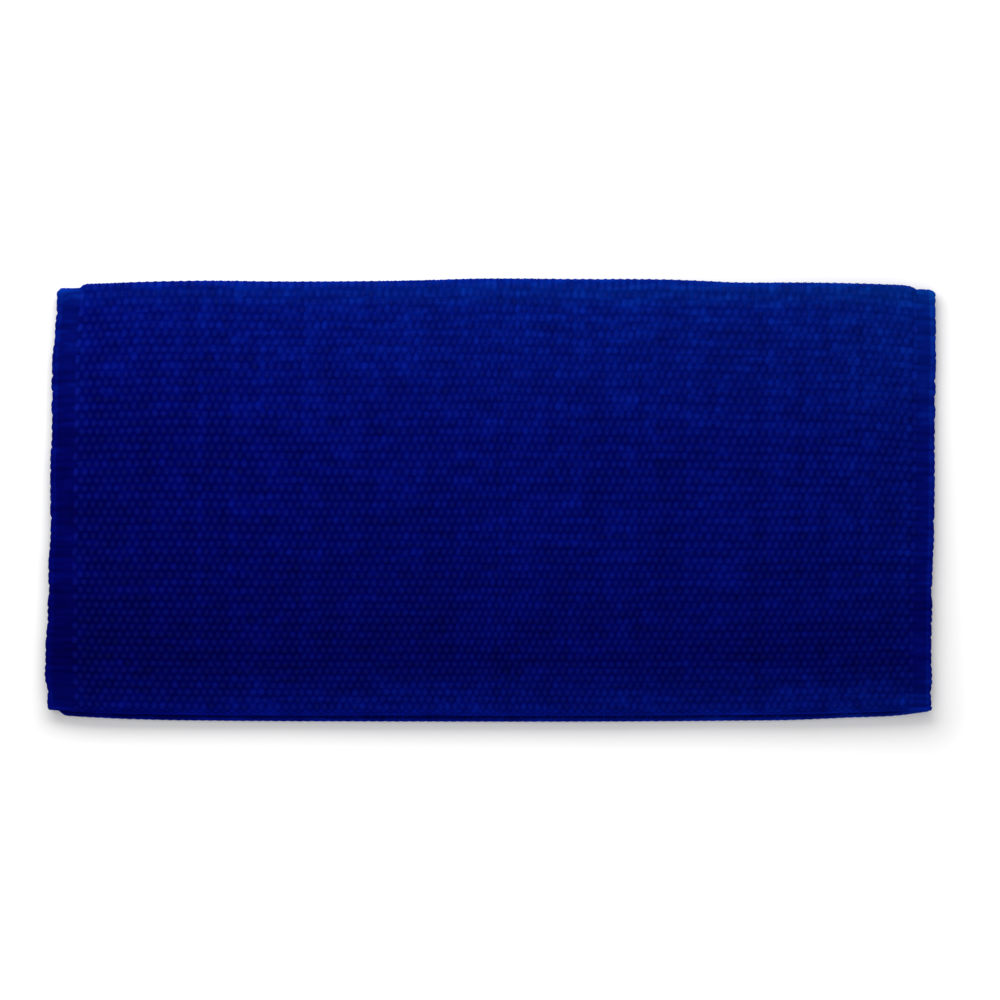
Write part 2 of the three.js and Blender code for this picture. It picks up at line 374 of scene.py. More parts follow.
    def _middle_net(self) -> np.ndarray:
        """Finds the middle of the whole cloth, evenly spaced along it from open edge to open edge.

        Returns:
            The places, one row for each distance across.
        """
        across = self.across[:, None]
        to_fold = np.linspace(0, 1, self.leaf_steps)[None, :]
        upper = self._leaf_net(Leaf.UPPER, across, to_fold)
        lower = self._leaf_net(Leaf.LOWER, across, to_fold[:, ::-1])
        x, from_side, header_width = self._places_across(across, np.ones((1, 1)), Leaf.UPPER)
        thickness, radius, fold_y, _ = self._section(x, from_side, header_width)
        angle = np.linspace(np.pi / 2, -np.pi / 2, self.fold_steps)[None, 1:-1]
        y = fold_y + radius * np.cos(angle)
        z = thickness / 2 + radius * (1 + np.sin(angle))
        inward = np.where(across < self.flat_width / 2, 1, -1)
        inward = inward * self.fold_corner_inset * (1 - smooth_step(from_side, 0, self.fold_corner_width))
        fold = np.stack([x + inward * (1 - np.abs(np.sin(angle))), y, z], axis=-1)
        path = np.concatenate([upper, fold, lower], axis=1)
        steps = np.hypot(*np.moveaxis(np.diff(path[..., 1:], axis=1), -1, 0))
        travelled = np.concatenate([0 * steps[:, :1], np.cumsum(steps, axis=1)], axis=1)
        even = np.linspace(0, 1, self.net_rows)
        rows = [
            [np.interp(even, way / way[-1], places[:, axis]) for axis in range(3)]
            for way, places in zip(travelled, path)
        ]
        return np.moveaxis(np.array(rows), 1, -1)

    def _shift_to_solid(self) -> np.ndarray:
        """Finds the way from the middle of this form's box to the middle of the solid's box.

        Returns:
            The way in X and Y, and none in Z.
        """
        places = self.middle[self.columns_outside:-self.columns_outside]
        low = places.min(axis=(0, 1))
        high = places.max(axis=(0, 1))
        half = self.body_thickness / 2
        lowest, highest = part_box("blanket")
        shift = np.zeros(3)
        shift[0] = (lowest.x + highest.x) / 2 - (low[0] + high[0]) / 2
        shift[1] = (lowest.y + highest.y) / 2 - (low[1] + high[1] + half) / 2
        return shift

    def lay(self, flat: np.ndarray) -> np.ndarray:
        """Takes places of the flat cloth to the folded form, pressed flat where it rests on the surface.

        Args:
            flat: the distance across, the distance along and the distance out of each place.

        Returns:
            The X, Y and Z of each place.
        """
        across, along, out = flat.T
        column = np.clip(np.searchsorted(self.across, across) - 1, 0, len(self.across) - 2)
        to_next = (across - self.across[column]) / (self.across[column + 1] - self.across[column])
        place = along / self.flat_length * (self.net_rows - 1)
        row = np.clip(np.floor(place).astype(int), 0, self.net_rows - 2)
        to_after = (place - row)[:, None]
        to_next = to_next[:, None]

        def read(net: np.ndarray) -> np.ndarray:
            """Reads a net between its places.

            Args:
                net: the net.

            Returns:
                Its value at each place to be laid.
            """
            before = blend(net[column, row], net[column, row + 1], to_after)
            after = blend(net[column + 1, row], net[column + 1, row + 1], to_after)
            return blend(before, after, to_next)

        outward = read(self.outward)
        outward /= np.linalg.norm(outward, axis=1)[:, None]
        laid = read(self.middle) + outward * out[:, None] + self.shift
        laid[:, 2] = np.maximum(laid[:, 2], 0)
        return laid


def places_of(piece: bpy.types.Object) -> np.ndarray:
    """Reads a mesh's points.

    Args:
        piece: the mesh object.

    Returns:
        One row of X, Y and Z for each point.
    """
    places = np.empty(len(piece.data.vertices) * 3)
    piece.data.vertices.foreach_get("co", places)
    return places.reshape(-1, 3)


def move_to(piece: bpy.types.Object, places: np.ndarray) -> None:
    """Moves a mesh's points.

    Args:
        piece: the mesh object.
        places: one row of X, Y and Z for each point.
    """
    piece.data.vertices.foreach_set("co", places.ravel())
    piece.data.update()


def take_up(*pieces: bpy.types.Object) -> None:
    """Makes these objects the only selected ones, and the first the active one.

    Args:
        *pieces: the objects.
    """
    bpy.ops.object.select_all(action="DESELECT")
    for piece in pieces:
        piece.select_set(True)
    bpy.context.view_layer.objects.active = pieces[0]


def apply_modifier(piece: bpy.types.Object, kind: str, **settings: Any) -> None:
    """Adds a modifier to a mesh and applies it.

    Args:
        piece: the mesh object.
        kind: the modifier's type, such as "ARRAY".
        **settings: the modifier's settings.
    """
    take_up(piece)
    bpy.ops.object.modifier_add(type=kind)
    modifier = piece.modifiers[-1]
    for name, value in settings.items():
        setattr(modifier, name, value)
    bpy.ops.object.modifier_apply(modifier=modifier.name)


def turn_faces_out(piece: bpy.types.Object) -> None:
    """Merges a mesh's doubles, turns all its faces outward and shades them smooth.

    Args:
        piece: the mesh object.
    """
    take_up(piece)
    bpy.ops.object.mode_set(mode="EDIT")
    bpy.ops.mesh.select_all(action="SELECT")
    bpy.ops.mesh.remove_doubles(threshold=MERGE_WITHIN)
    bpy.ops.mesh.normals_make_consistent(inside=False)
    bpy.ops.object.mode_set(mode="OBJECT")
    bpy.ops.object.shade_smooth()


def add_grid(name: str, columns: int, rows: int) -> bpy.types.Object:
    """Adds a flat grid of one metre, centred on the origin.

    Args:
        name: the object's name.
        columns: how many faces it has along X.
        rows: how many it has along Y.

    Returns:
        The grid.
    """
    bpy.ops.object.select_all(action="DESELECT")
    bpy.ops.mesh.primitive_grid_add(x_subdivisions=columns, y_subdivisions=rows, size=1)
    grid = bpy.context.object
    grid.name = name
    grid.data.name = name
    return grid


def repeat_piece(
    piece: bpy.types.Object, count: int, step: tuple[float, float, float], **settings: Any
) -> None:
    """Repeats a mesh in a straight line.

    Args:
        piece: the mesh object.
        count: how many there are in the end.
        step: the way from each one to the next.
        **settings: further settings of the modifier that repeats it.
    """
    apply_modifier(
        piece,
        "ARRAY",
        count=count,
        use_relative_offset=False,
        use_constant_offset=True,
        constant_offset_displace=step,
        **settings,
    )


def draw_yarn(
    name: str, angles: Sequence[float], gaps: Sequence[float], repeats: int, end: float
) -> bpy.types.Object:
    """Models a straight yarn: a ring is drawn out to one repeat, repeated along and closed at its ends.

    Args:
        name: the object's name.
        angles: the corners of the yarn's section, in degrees.
        gaps: the distances between the rings of one repeat.
        repeats: how many times it is repeated.
        end: how far the yarn goes on past its first and its last ring.

    Returns:
        The yarn, with a radius of a millimetre, which lies along Y from 0.
    """
    bpy.ops.object.select_all(action="DESELECT")
    bpy.ops.mesh.primitive_circle_add(vertices=len(angles), radius=MM, fill_type="NOTHING")
    yarn = bpy.context.object
    yarn.name = name
    yarn.data.name = name
    turned = np.radians(angles)
    move_to(yarn, np.stack([np.cos(turned), 0 * turned, np.sin(turned)], axis=-1) * MM)
    bpy.ops.object.mode_set(mode="EDIT")
    bpy.ops.mesh.select_all(action="SELECT")
    for gap in gaps:
        bpy.ops.mesh.extrude_region_move(TRANSFORM_OT_translate={"value": (0, gap, 0)})
    bpy.ops.object.mode_set(mode="OBJECT")
    repeat_piece(yarn, repeats, (0, sum(gaps), 0), use_merge_vertices=True, merge_threshold=MERGE_WITHIN)
    for ring, way in ((0.0, -end), (sum(gaps) * repeats, end)):
        take_up(yarn)
        bpy.ops.object.mode_set(mode="EDIT")
        bpy.ops.mesh.select_all(action="DESELECT")
        bpy.ops.object.mode_set(mode="OBJECT")
        at_ring = np.abs(places_of(yarn)[:, 1] - ring) < SAME_PLACE
        yarn.data.vertices.foreach_set("select", at_ring)
        edge_points = np.array([edge.vertices[:] for edge in yarn.data.edges])
        yarn.data.edges.foreach_set("select", at_ring[edge_points].all(axis=1))
        bpy.ops.object.mode_set(mode="EDIT")
        bpy.ops.mesh.extrude_region_move(TRANSFORM_OT_translate={"value": (0, way, 0)})
        bpy.ops.mesh.edge_face_add()
        bpy.ops.object.mode_set(mode="OBJECT")
    return yarn


def set_tone(piece: bpy.types.Object, tone: np.ndarray) -> None:
    """Keeps the tone of each point's yarn, from 0 to 1, in the mesh."""
    attribute = piece.data.attributes.new(TONE, "FLOAT", "POINT")
    attribute.data.foreach_set("value", tone.astype(np.float32))


@dataclass
class Loom:
    """Where the rows and the picks of the weave lie in the flat cloth.

    A row is one rib of the weave, which runs across the blanket over one warp. A pick is one pass of the
    weft, which runs along the blanket and goes over and under the rows in turn.

    Attributes:
        form: the form in which the blanket lies.
        rows: how many rows the cloth has from open edge to open edge.
        picks: how many picks its body has.
        edge_to_first_row: the distance from an open edge to the first row.
        side_to_edge_pick: the distance from each side edge to the middle of the edge pick.
        edge_pick_width: the width of an edge pick.
        pick_spacing: the width of a pick at each X, as the weft was beaten in more or less tightly.
        row_spacing: the relative width of a row at each share of the way from an open edge to the fold.
        row_drift: how far the rows run past the fold at each distance across, because the cloth is folded a
            little askew.
        drift_onset: how late on the way to the fold that drift sets in: 1 is evenly.
        pick_places: the distance across of the middle of each pick.
        pick_widths: the width of each pick.
        row_places: the distance along at which each row starts, and the last one ends.
    """

    form: FoldedForm
    rows: int = 112
    picks: int = 216
    edge_to_first_row: float = 5.2 * MM
    side_to_edge_pick: Mapping[Side, float] = field(
        default_factory=lambda: {Side.LEFT: 26.6 * MM, Side.RIGHT: 21.4 * MM}
    )
    edge_pick_width: float = 6.2 * MM
    pick_spacing: Curve = Curve((
        (-430, 4.05), (-385, 4.11), (-343, 4.40), (-302, 4.01), (-260, 4.41), (-219, 4.02), (-178, 3.86),
        (-136, 4.11), (-95, 3.93), (-53, 3.79), (-12, 3.43), (29, 3.56), (71, 3.84), (112, 3.88), (154, 3.69),
        (195, 4.04), (237, 4.30), (278, 3.91), (319, 3.84), (361, 3.83), (430, 3.95),
    ))
    row_spacing: Curve = Curve(
        ((0, 0.90), (0.2, 0.93), (0.4, 1.0), (0.6, 1.04), (0.8, 1.03), (1, 1.0)), unit=1
    )
    row_drift: Curve = Curve((
        (42, 5.2), (135, 2.6), (228, 2.3), (317, 1.8), (414, 0), (600, -1.9), (693, -0.9), (787, -1.2),
        (870, -2.2),
    ))
    drift_onset: float = 1.5
    pick_places: np.ndarray = field(init=False)
    pick_widths: np.ndarray = field(init=False)
    row_places: np.ndarray = field(init=False)

    def __post_init__(self) -> None:
        """Sets out the picks across the cloth and the rows along it."""
        first = self.side_to_edge_pick[Side.LEFT] + self.edge_pick_width / 2
        last = self.form.flat_width - self.side_to_edge_pick[Side.RIGHT] - self.edge_pick_width / 2
        even = np.linspace(first, last, self.picks + 1)
        widths = self.pick_spacing.at(even[:-1] + np.diff(even) / 2 - self.form.flat_width / 2)
        self.pick_widths = widths * (last - first) / widths.sum()
        self.pick_places = first + np.cumsum(self.pick_widths) - self.pick_widths / 2
        middles = (np.arange(self.rows) + 0.5) / self.rows
        heights = self.row_spacing.at(1 - np.abs(2 * middles - 1))
        starts = np.concatenate([[0], np.cumsum(heights)]) / heights.sum()
        woven = self.form.flat_length - 2 * self.edge_to_first_row
        self.row_places = self.edge_to_first_row + woven * starts

    def along(self, row: np.ndarray, across: np.ndarray) -> np.ndarray:
        """Finds where a row lies along the cloth.

        Args:
            row: the row, counted from the open edge of the upper leaf, with its fraction.
            across: the distance across the cloth.

        Returns:
            The distance along the cloth.
        """
        numbers = np.arange(self.rows + 1)
        place = np.interp(row, numbers, self.row_places)
        place += np.minimum(row, 0) * (self.row_places[1] - self.row_places[0])
        place += np.maximum(row - self.rows, 0) * (self.row_places[1] - self.row_places[0])
        to_fold = np.clip(1 - np.abs(2 * row / self.rows - 1), 0, 1)
        return place + self.row_drift.at(across) * to_fold**self.drift_onset


@dataclass(frozen=True)
class YarnMap:
    """The map of a piece's yarns: one strip to a yarn, with its length along U and its girth across V.

    Attributes:
        strips: how many strips the map holds.
        rows: how many rows of the weave a strip covers, with the yarn's tied-in ends.
        first_row: the row at which a strip starts.
        end_margin: the bare part of U at each end of a strip.
        side_margin: the bare part of a strip's width at each side of it.
    """

    strips: int
    rows: float
    first_row: float
    end_margin: float = 0.001
    side_margin: float = 0.03

    def lay_out(self, row: np.ndarray, girth: np.ndarray) -> np.ndarray:
        """Finds the places of the first yarn on the map.

        Args:
            row: the row of each place, with its fraction.
            girth: the share of the way round the yarn.

        Returns:
            One row of U and V for each place.
        """
        along = (row - self.first_row) / self.rows
        across = self.side_margin + (1 - 2 * self.side_margin) * girth
        return np.stack([self.end_margin + (1 - 2 * self.end_margin) * along, across / self.strips], axis=-1)


@dataclass
class WeftYarn:
    """The thick soft yarn of the body, as it lies in the cloth.

    Attributes:
        loom: where the rows and picks lie.
        thickness: the yarn's thickness where it floats over a row.
        crossing_width: its width between two rows, as a share of the space that a pick has.
        float_width: its width where it floats over a row, as a share of that space.
        fullness: how full the yarn's section is: 1 is an oval, and less is fuller at its shoulders.
        flatness: how much the top of a float is flattened.
        fold_tightness: how much of its rise and fall the yarn loses where it is pulled tight round the fold.
        roundness: how a float widens from its ends to its middle: the lower, the rounder its ends.
        slant: how far a float leans over with the yarn's twist.
        section_angles: the corners of the yarn's section, in degrees, closer together on the outer side.
        ring_rows: where the yarn's rings lie in each repeat of two rows, closer together over the first.
        thinning: how much thinner the yarn is between two rows.
        tight_rows: how near the fold, in rows, the yarn is at its tightest.
        loose_rows: how far from the fold, in rows, it is no tighter than elsewhere.
        width_spread: how much the floats differ in width.
        height_spread: how much they differ in height.
        height_limit: how far a float may lie below the others.
        sway_spread: how much they differ in their place across.
        shift_spread: how much they differ in their place along, in rows.
        tone_spread: how much they differ in tone.
        pick_tone_spread: how much the picks differ in tone.
        set_out: the distance between straight picks, before they are woven.
        tie_in: how far the yarn goes on past its first and its last row.
        seed: the number from which its unevenness is drawn.
    """

    loom: Loom
    thickness: float = 5.4 * MM
    crossing_width: float = 1.4
    float_width: float = 2.12
    fullness: float = 0.7
    flatness: float = 0.06
    fold_tightness: float = 0.8
    roundness: float = 0.9
    slant: float = 0.14 * MM
    section_angles: tuple[float, ...] = (0, 45, 90, 135, 180, 270)
    ring_rows: tuple[float, ...] = (0.0, 0.25, 0.5, 0.75, 1.0, 1.5)
    thinning: float = 0.1
    tight_rows: float = 1.5
    loose_rows: float = 7.0
    width_spread: float = 0.05
    height_spread: float = 0.10 * MM
    height_limit: float = 0.25 * MM
    sway_spread: float = 0.12 * MM
    shift_spread: float = 0.02
    tone_spread: float = 0.14
    pick_tone_spread: float = 0.10
    set_out: float = 20 * MM
    tie_in: float = 2.5 * MM
    seed: int = 11

    @property
    def repeat(self) -> float:
        """Length of one repeat of two rows on the loom, before the rows are beaten to their places."""
        return 2 * self.loom.form.flat_length / self.loom.rows

    def model_pick(self, name: str) -> bpy.types.Object:
        """Models one straight pick, which lies along Y from 0 at its first row."""
        gaps = np.diff([*self.ring_rows, 2.0]) * self.repeat / 2
        return draw_yarn(name, self.section_angles, gaps.tolist(), self.loom.rows // 2, self.tie_in)

    def yarn_map(self, strips: int) -> YarnMap:
        """Sizes of the map of a piece with this many picks."""
        tied_in = self.tie_in / (self.repeat / 2)
        return YarnMap(strips, rows=self.loom.rows + 2 * tied_in, first_row=-tied_in)

    def turn_round(self, pick: bpy.types.Object) -> None:
        """Turns a straight pick end for end, as the weft lies when it comes back.

        Args:
            pick: the pick.
        """
        places = places_of(pick)
        places[:, 1] = self.repeat * self.loom.rows / 2 - places[:, 1]
        move_to(pick, places)

    def unroll(self, pick: bpy.types.Object, strips: int) -> None:
        """Gives a straight pick its map.

        Args:
            pick: the pick.
            strips: how many strips the map holds.
        """
        mesh = pick.data
        layer = mesh.uv_layers.new(name=BAKE_MAP)
        corner_points = np.empty(len(mesh.loops), int)
        mesh.loops.foreach_get("vertex_index", corner_points)
        places = places_of(pick)[corner_points]
        girth = np.arctan2(places[:, 2], places[:, 0]) / (2 * np.pi) % 1
        # A face over the girth's start has corners at both of its ends, so all are read at the far end
        for face in mesh.polygons:
            corners = list(face.loop_indices)
            if girth[corners].max() - girth[corners].min() > 0.5:
                girth[corners] = np.where(girth[corners] < 0.3, girth[corners] + 1, girth[corners])
        places_on_map = self.yarn_map(strips).lay_out(places[:, 1] / (self.repeat / 2), girth)
        layer.data.foreach_set("uv", places_on_map.ravel())

    def weave(self, piece: bpy.types.Object, first: int) -> None:
        """Takes straight picks to their paths over and under the rows, and lays them on the folded form.

        Args:
            piece: the picks, set out evenly across.
            first: the number of the first of them.
        """
        loom = self.loom
        places = places_of(piece)
        picks_here = np.rint(places[:, 0] / self.set_out).astype(int)
        side = (places[:, 0] - picks_here * self.set_out) / MM
        lift = np.sign(places[:, 2]) * np.abs(places[:, 2] / MM) ** self.fullness
        row = places[:, 1] / (self.repeat / 2)
        order = picks_here + first
        phase = np.pi * (row - 0.5 + order)
        over = np.cos(phase)
        crest = np.abs(over) ** self.roundness
        uneven = self._unevenness(order, row)
        width = self._widths(order) * blend(self.crossing_width, self.float_width * uneven["width"], crest)
        half_height = self.thickness / 2 * (1 - self.thinning * (1 - crest))
        path = self._path_height() * (over - self.flatness * np.cos(3 * phase)) / (1 - self.flatness)
        path = blend(path, self._path_height() / 2, self.fold_tightness * self._nearness_to_fold(row))
        out = path + uneven["height"] * crest * np.sign(over) + lift * half_height
        centre = self._places(order) + uneven["sway"] + self.slant * np.sin(phase)
        across = centre + side * width / 2
        along = loom.along(row + uneven["shift"], across)
        move_to(piece, loom.form.lay(np.stack([across, along, out], axis=-1)))
        set_tone(piece, uneven["tone"])

    def _nearness_to_fold(self, row: np.ndarray) -> np.ndarray:
        """How near a row is to the fold: 1 on the fold's round and 0 a few rows before it."""
        return smooth_step(-np.abs(row - self.loom.rows / 2), -self.loose_rows, -self.tight_rows)

    def _path_height(self) -> float:
        """How far the yarn's middle rises over a row, so that its floats reach the face of the cloth."""
        return (self.loom.form.body_thickness - self.thickness) / 2

    def _places(self, order: np.ndarray) -> np.ndarray:
        """Distance across of each pick."""
        return self.loom.pick_places[order]

    def _widths(self, order: np.ndarray) -> np.ndarray:
        """Space that each pick has across the cloth."""
        return self.loom.pick_widths[order]

    def _unevenness(self, order: np.ndarray, row: np.ndarray) -> dict[str, np.ndarray]:
        """Slight differences from float to float and from pick to pick, the same on each run.

        Args:
            order: the pick of each point.
            row: the row of each point, with its fraction.

        Returns:
            By name: a factor of the float's width, its height, its place across, its place along in rows, and
            the tone of its yarn from 0 to 1.
        """
        chance = np.random.default_rng(self.seed)
        picks = self.loom.picks + 2
        rows = self.loom.rows + 2
        width = chance.normal(1, self.width_spread, (picks, rows))
        height = chance.normal(0, self.height_spread, (picks, rows)).clip(-self.height_limit, 0.0)
        sway = chance.normal(0, self.sway_spread, (picks, rows))
        shift = chance.normal(0, self.shift_spread, (picks, rows))
        tone = chance.normal(0.5, self.tone_spread, (picks, rows))
        tone += chance.normal(0, self.pick_tone_spread, (picks, 1))
        pick = np.clip(order + 1, 0, picks - 1)
        here = np.clip(np.floor(row).astype(int) + 1, 0, rows - 1)
        part = (row - 0.5) - np.floor(row - 0.5)
        before = np.clip(np.floor(row - 0.5).astype(int) + 1, 0, rows - 1)
        after = np.clip(before + 1, 0, rows - 1)
        return {
            "width": width[pick, here],
            "height": height[pick, here],
            "sway": blend(sway[pick, before], sway[pick, after], part),
            "shift": blend(shift[pick, before], shift[pick, after], part),
            "tone": np.clip(tone[pick, here], 0, 1),
        }


@dataclass
class EdgePick(WeftYarn):
    """The doubled, thicker pick at which a header meets the body.

    Attributes:
        side: the side edge near which it lies.
        thickness: the doubled yarn's thickness.
        crossing_width: its width between two rows, as a share of the edge pick's.
        float_width: its width over a row, as a share of the edge pick's.
        section_angles: the corners of its section, in degrees, more of them than the body's yarn has.
        rise: how far its middle rises over a row at the shoulder, where the cloth is thinner.
        left_tone_shift: how much lighter the left one is than the body's yarn.
        right_tone_shift: how much lighter the right one is.
    """

    side: Side = Side.LEFT
    thickness: float = 3.8 * MM
    crossing_width: float = 0.85
    float_width: float = 1.1
    section_angles: tuple[float, ...] = (0, 30, 60, 90, 120, 150, 180, 270)
    rise: float = 1.45 * MM
    left_tone_shift: float = 0.35
    right_tone_shift: float = -0.15

    def _path_height(self) -> float:
        """How far the doubled yarn's middle rises over a row."""
        return self.rise

    def _places(self, order: np.ndarray) -> np.ndarray:
        """Finds where the edge pick lies.

        Args:
            order: the pick of each point.

        Returns:
            The distance across of its middle, at each point.
        """
        loom = self.loom
        if self.side is Side.LEFT:
            return loom.side_to_edge_pick[Side.LEFT] + 0.0 * order
        return loom.form.flat_width - loom.side_to_edge_pick[Side.RIGHT] + 0.0 * order

    def _widths(self, order: np.ndarray) -> np.ndarray:
        """Width of the edge pick."""
        return self.loom.edge_pick_width + 0.0 * order

    def _unevenness(self, order: np.ndarray, row: np.ndarray) -> dict[str, np.ndarray]:
        """Slight differences from float to float, with the tone of this side's yarn.

        Args:
            order: the pick of each point.
            row: the row of each point, with its fraction.

        Returns:
            By name, what the body's yarn has.
        """
        uneven = super()._unevenness(order, row)
        shift = self.left_tone_shift if self.side is Side.LEFT else self.right_tone_shift
        uneven["tone"] = np.clip(uneven["tone"] + shift, 0, 1)
        return uneven

    def build(self) -> bpy.types.Object:
        """Models the edge pick of this side.

        Returns:
            The finished mesh object.
        """
        pick = self.model_pick(f"edge_weft_{self.side.name.lower()}")
        self.unroll(pick, 1)
        if self.side is Side.LEFT:
            self.turn_round(pick)
        self.weave(pick, -1 if self.side is Side.LEFT else self.loom.picks)
        turn_faces_out(pick)
        return pick


@dataclass
class WeftPanel(WeftYarn):
    """A panel of the body's picks side by side, each next one turned round as the weft comes back.

    Attributes:
        first: the number of its first pick.
        pairs: how many picks there and back it has.
    """

    first: int = 0
    pairs: int = 18

    def build(self) -> bpy.types.Object:
        """Models the panel: a pick and its way back are joined, repeated across, woven and laid.

        Returns:
            The finished mesh object.
        """
        there = self.model_pick(f"weft_{self.first:03d}")
        self.unroll(there, 2 * self.pairs)
        take_up(there)
        bpy.ops.object.duplicate()
        back = bpy.context.object
        self.turn_round(back)
        move_to(back, places_of(back) + np.array([self.set_out, 0, 0]))
        shift = np.empty(len(back.data.loops) * 2)
        back.data.uv_layers[BAKE_MAP].data.foreach_get("uv", shift)
        shift[1::2] += 1 / (2 * self.pairs)
        back.data.uv_layers[BAKE_MAP].data.foreach_set("uv", shift)
        take_up(there, back)
        bpy.ops.object.join()
        repeat_piece(there, self.pairs, (2 * self.set_out, 0, 0), offset_v=1 / self.pairs)
        self.weave(there, self.first)
        turn_faces_out(there)
        return there


@dataclass
class HeaderBand:
    """The thin, fine-ribbed band at one end of the blanket, woven in one with its cloth.

    Its ribs run across it over the warps, one to a row. A stitched line runs a little inside its edge, and
    the outer strip of the band lies outside that line.

    Attributes:
        loom: where the rows lie.
        side: the side edge that the band ends in.
        rib_depth: the depth of the grooves between the ribs.
        rib_points: the places along each rib at which the band has points.
        rib_fullness: how full a rib is: the lower, the narrower the grooves.
        scallop: the depth of the scallops along the side edge, on average.
        scallop_spread: the least and the most of that, as shares of it.
        scallop_share: the share of a scallop's depth that lies inside the side edge's line.
        scallop_reach: how far into the band the scallops go.
        wander: how far the side edge wanders.
        stitch_from_edge: the distance from the side edge to the thread of the stitched line.
        line_from_edge: the distance from the side edge to the bottom of that line's groove.
        line_half_width: half the width of the groove.
        line_depth: its depth.
        shallow_width: the width of the strip at the side edge in which the grooves are shallowest.
        shallowness: how much shallower they are there.
        tuck: how far the band reaches in under the edge pick.
        rim_bluntness: the share of its thickness that the band still has at its very edge, squared.
        base_tone: the tone of the yarn between two ribs.
        rib_painted_light: how much lighter it is on a rib: painted light on the ribs, which leaves painted
            shade in
        the grooves between them.
        outer_tone: how much lighter it is in the outer strip.
        outer_fade: the width over which the outer strip's tone ends.
        stitch_tone: how much lighter the thread of the stitched line is.
        painted_fold_light: how much lighter the yarn is painted on the fold, at each side: painted light
            where the fold turns towards the lamp.
        fold_light_spread: how far from the fold that painted light starts to fade, and how far from it that
            ends.
        unevenness: how much the ribs differ in tone.
        seed: the number from which its unevenness is drawn.
        sheet_thickness: the thickness of the plain sheet from which the band is modelled.
        places: the distances from the side edge of its lines of points, in millimetres.
        end_places: the distances from an open edge of the points at its ends, in millimetres.
    """

    loom: Loom
    side: Side
    rib_depth: float = 0.9 * MM
    rib_points: int = 4
    rib_fullness: float = 0.8
    scallop: float = 0.7 * MM
    scallop_spread: tuple[float, float] = (0.3, 1.7)
    scallop_share: float = 0.6
    scallop_reach: float = 4 * MM
    wander: float = 0.45 * MM
    stitch_from_edge: float = 4.6 * MM
    line_from_edge: float = 5.8 * MM
    line_half_width: float = 0.9 * MM
    line_depth: float = 0.7 * MM
    shallow_width: float = 3 * MM
    shallowness: float = 0.6
    tuck: float = 3.0 * MM
    rim_bluntness: float = 0.02
    base_tone: float = 0.20
    rib_painted_light: float = 0.25
    outer_tone: float = 0.40
    outer_fade: float = 1.5 * MM
    stitch_tone: float = 0.3
    painted_fold_light: Mapping[Side, float] = field(
        default_factory=lambda: {Side.LEFT: 0.5, Side.RIGHT: 0.25}
    )
    fold_light_spread: tuple[float, float] = (9 * MM, 27 * MM)
    unevenness: float = 0.07
    seed: int = 5
    sheet_thickness: float = 0.1 * MM
    places: tuple[float, ...] = (
        0, 0.25, 0.8, 1.8, 3.4, 4.6, 5.0, 5.8, 6.7, 7.2, 9.0, 12.0, 15.0, 18.0, 21.0, 23.0,
    )
    end_places: tuple[float, ...] = (0.0, 0.3, 0.9, 1.8, 3.0)

    def build(self) -> bpy.types.Object:
        """Models the band from a flat grid: it is given its thickness, its ribs and its line, and is laid.

        Returns:
            The finished mesh object.
        """
        form = self.loom.form
        width = self.loom.side_to_edge_pick[self.side] + self.tuck
        places = np.array([place * MM for place in self.places if place * MM < width - MM] + [width])
        rows = self._rows()
        band = add_grid(f"header_{self.side.name.lower()}", len(places) - 1, len(rows) - 1)
        grid = places_of(band)
        column = np.rint((grid[:, 0] + 0.5) * (len(places) - 1)).astype(int)
        line = np.rint((grid[:, 1] + 0.5) * (len(rows) - 1)).astype(int)
        move_to(band, np.stack([places[column], rows[line], 0 * grid[:, 0]], axis=-1))
        apply_modifier(band, "SOLIDIFY", thickness=self.sheet_thickness, offset=0.0)
        flat = places_of(band)
        from_edge = places[np.abs(flat[:, 0][:, None] - places[None, :]).argmin(axis=1)]
        row = rows[np.abs(flat[:, 1][:, None] - rows[None, :]).argmin(axis=1)]
        face = np.sign(flat[:, 2])
        rib = np.abs(np.sin(np.pi * row)) ** self.rib_fullness
        half = self._half_thickness(from_edge, row, rib)
        place = from_edge - self._edge_shift(row, rib) * (1 - smooth_step(from_edge, 0, self.scallop_reach))
        across = place if self.side is Side.LEFT else form.flat_width - place
        along = self.loom.along(row, across)
        move_to(band, form.lay(np.stack([across, along, face * half], axis=-1)))
        set_tone(band, self._tones(from_edge, np.abs(along - form.flat_length / 2), row, rib))
        turn_faces_out(band)
        return band

    def _edge_shift(self, row: np.ndarray, rib: np.ndarray) -> np.ndarray:
        """Finds how far the side edge stands out, with a scallop at each rib and a slight wander.

        Args:
            row: the row of each point, with its fraction.
            rib: 1 on the middle of a rib and 0 between two ribs.

        Returns:
            The distance out at each point.
        """
        chance = np.random.default_rng(self.seed + 1)
        depth = chance.uniform(*self.scallop_spread, self.loom.rows + 2)
        wander = chance.normal(0.0, self.wander, self.loom.rows + 3)
        here = np.clip(np.floor(row).astype(int) + 1, 0, self.loom.rows + 1)
        between = blend(wander[here], wander[here + 1], row - np.floor(row))
        return self.scallop * depth[here] * (rib - self.scallop_share) + between

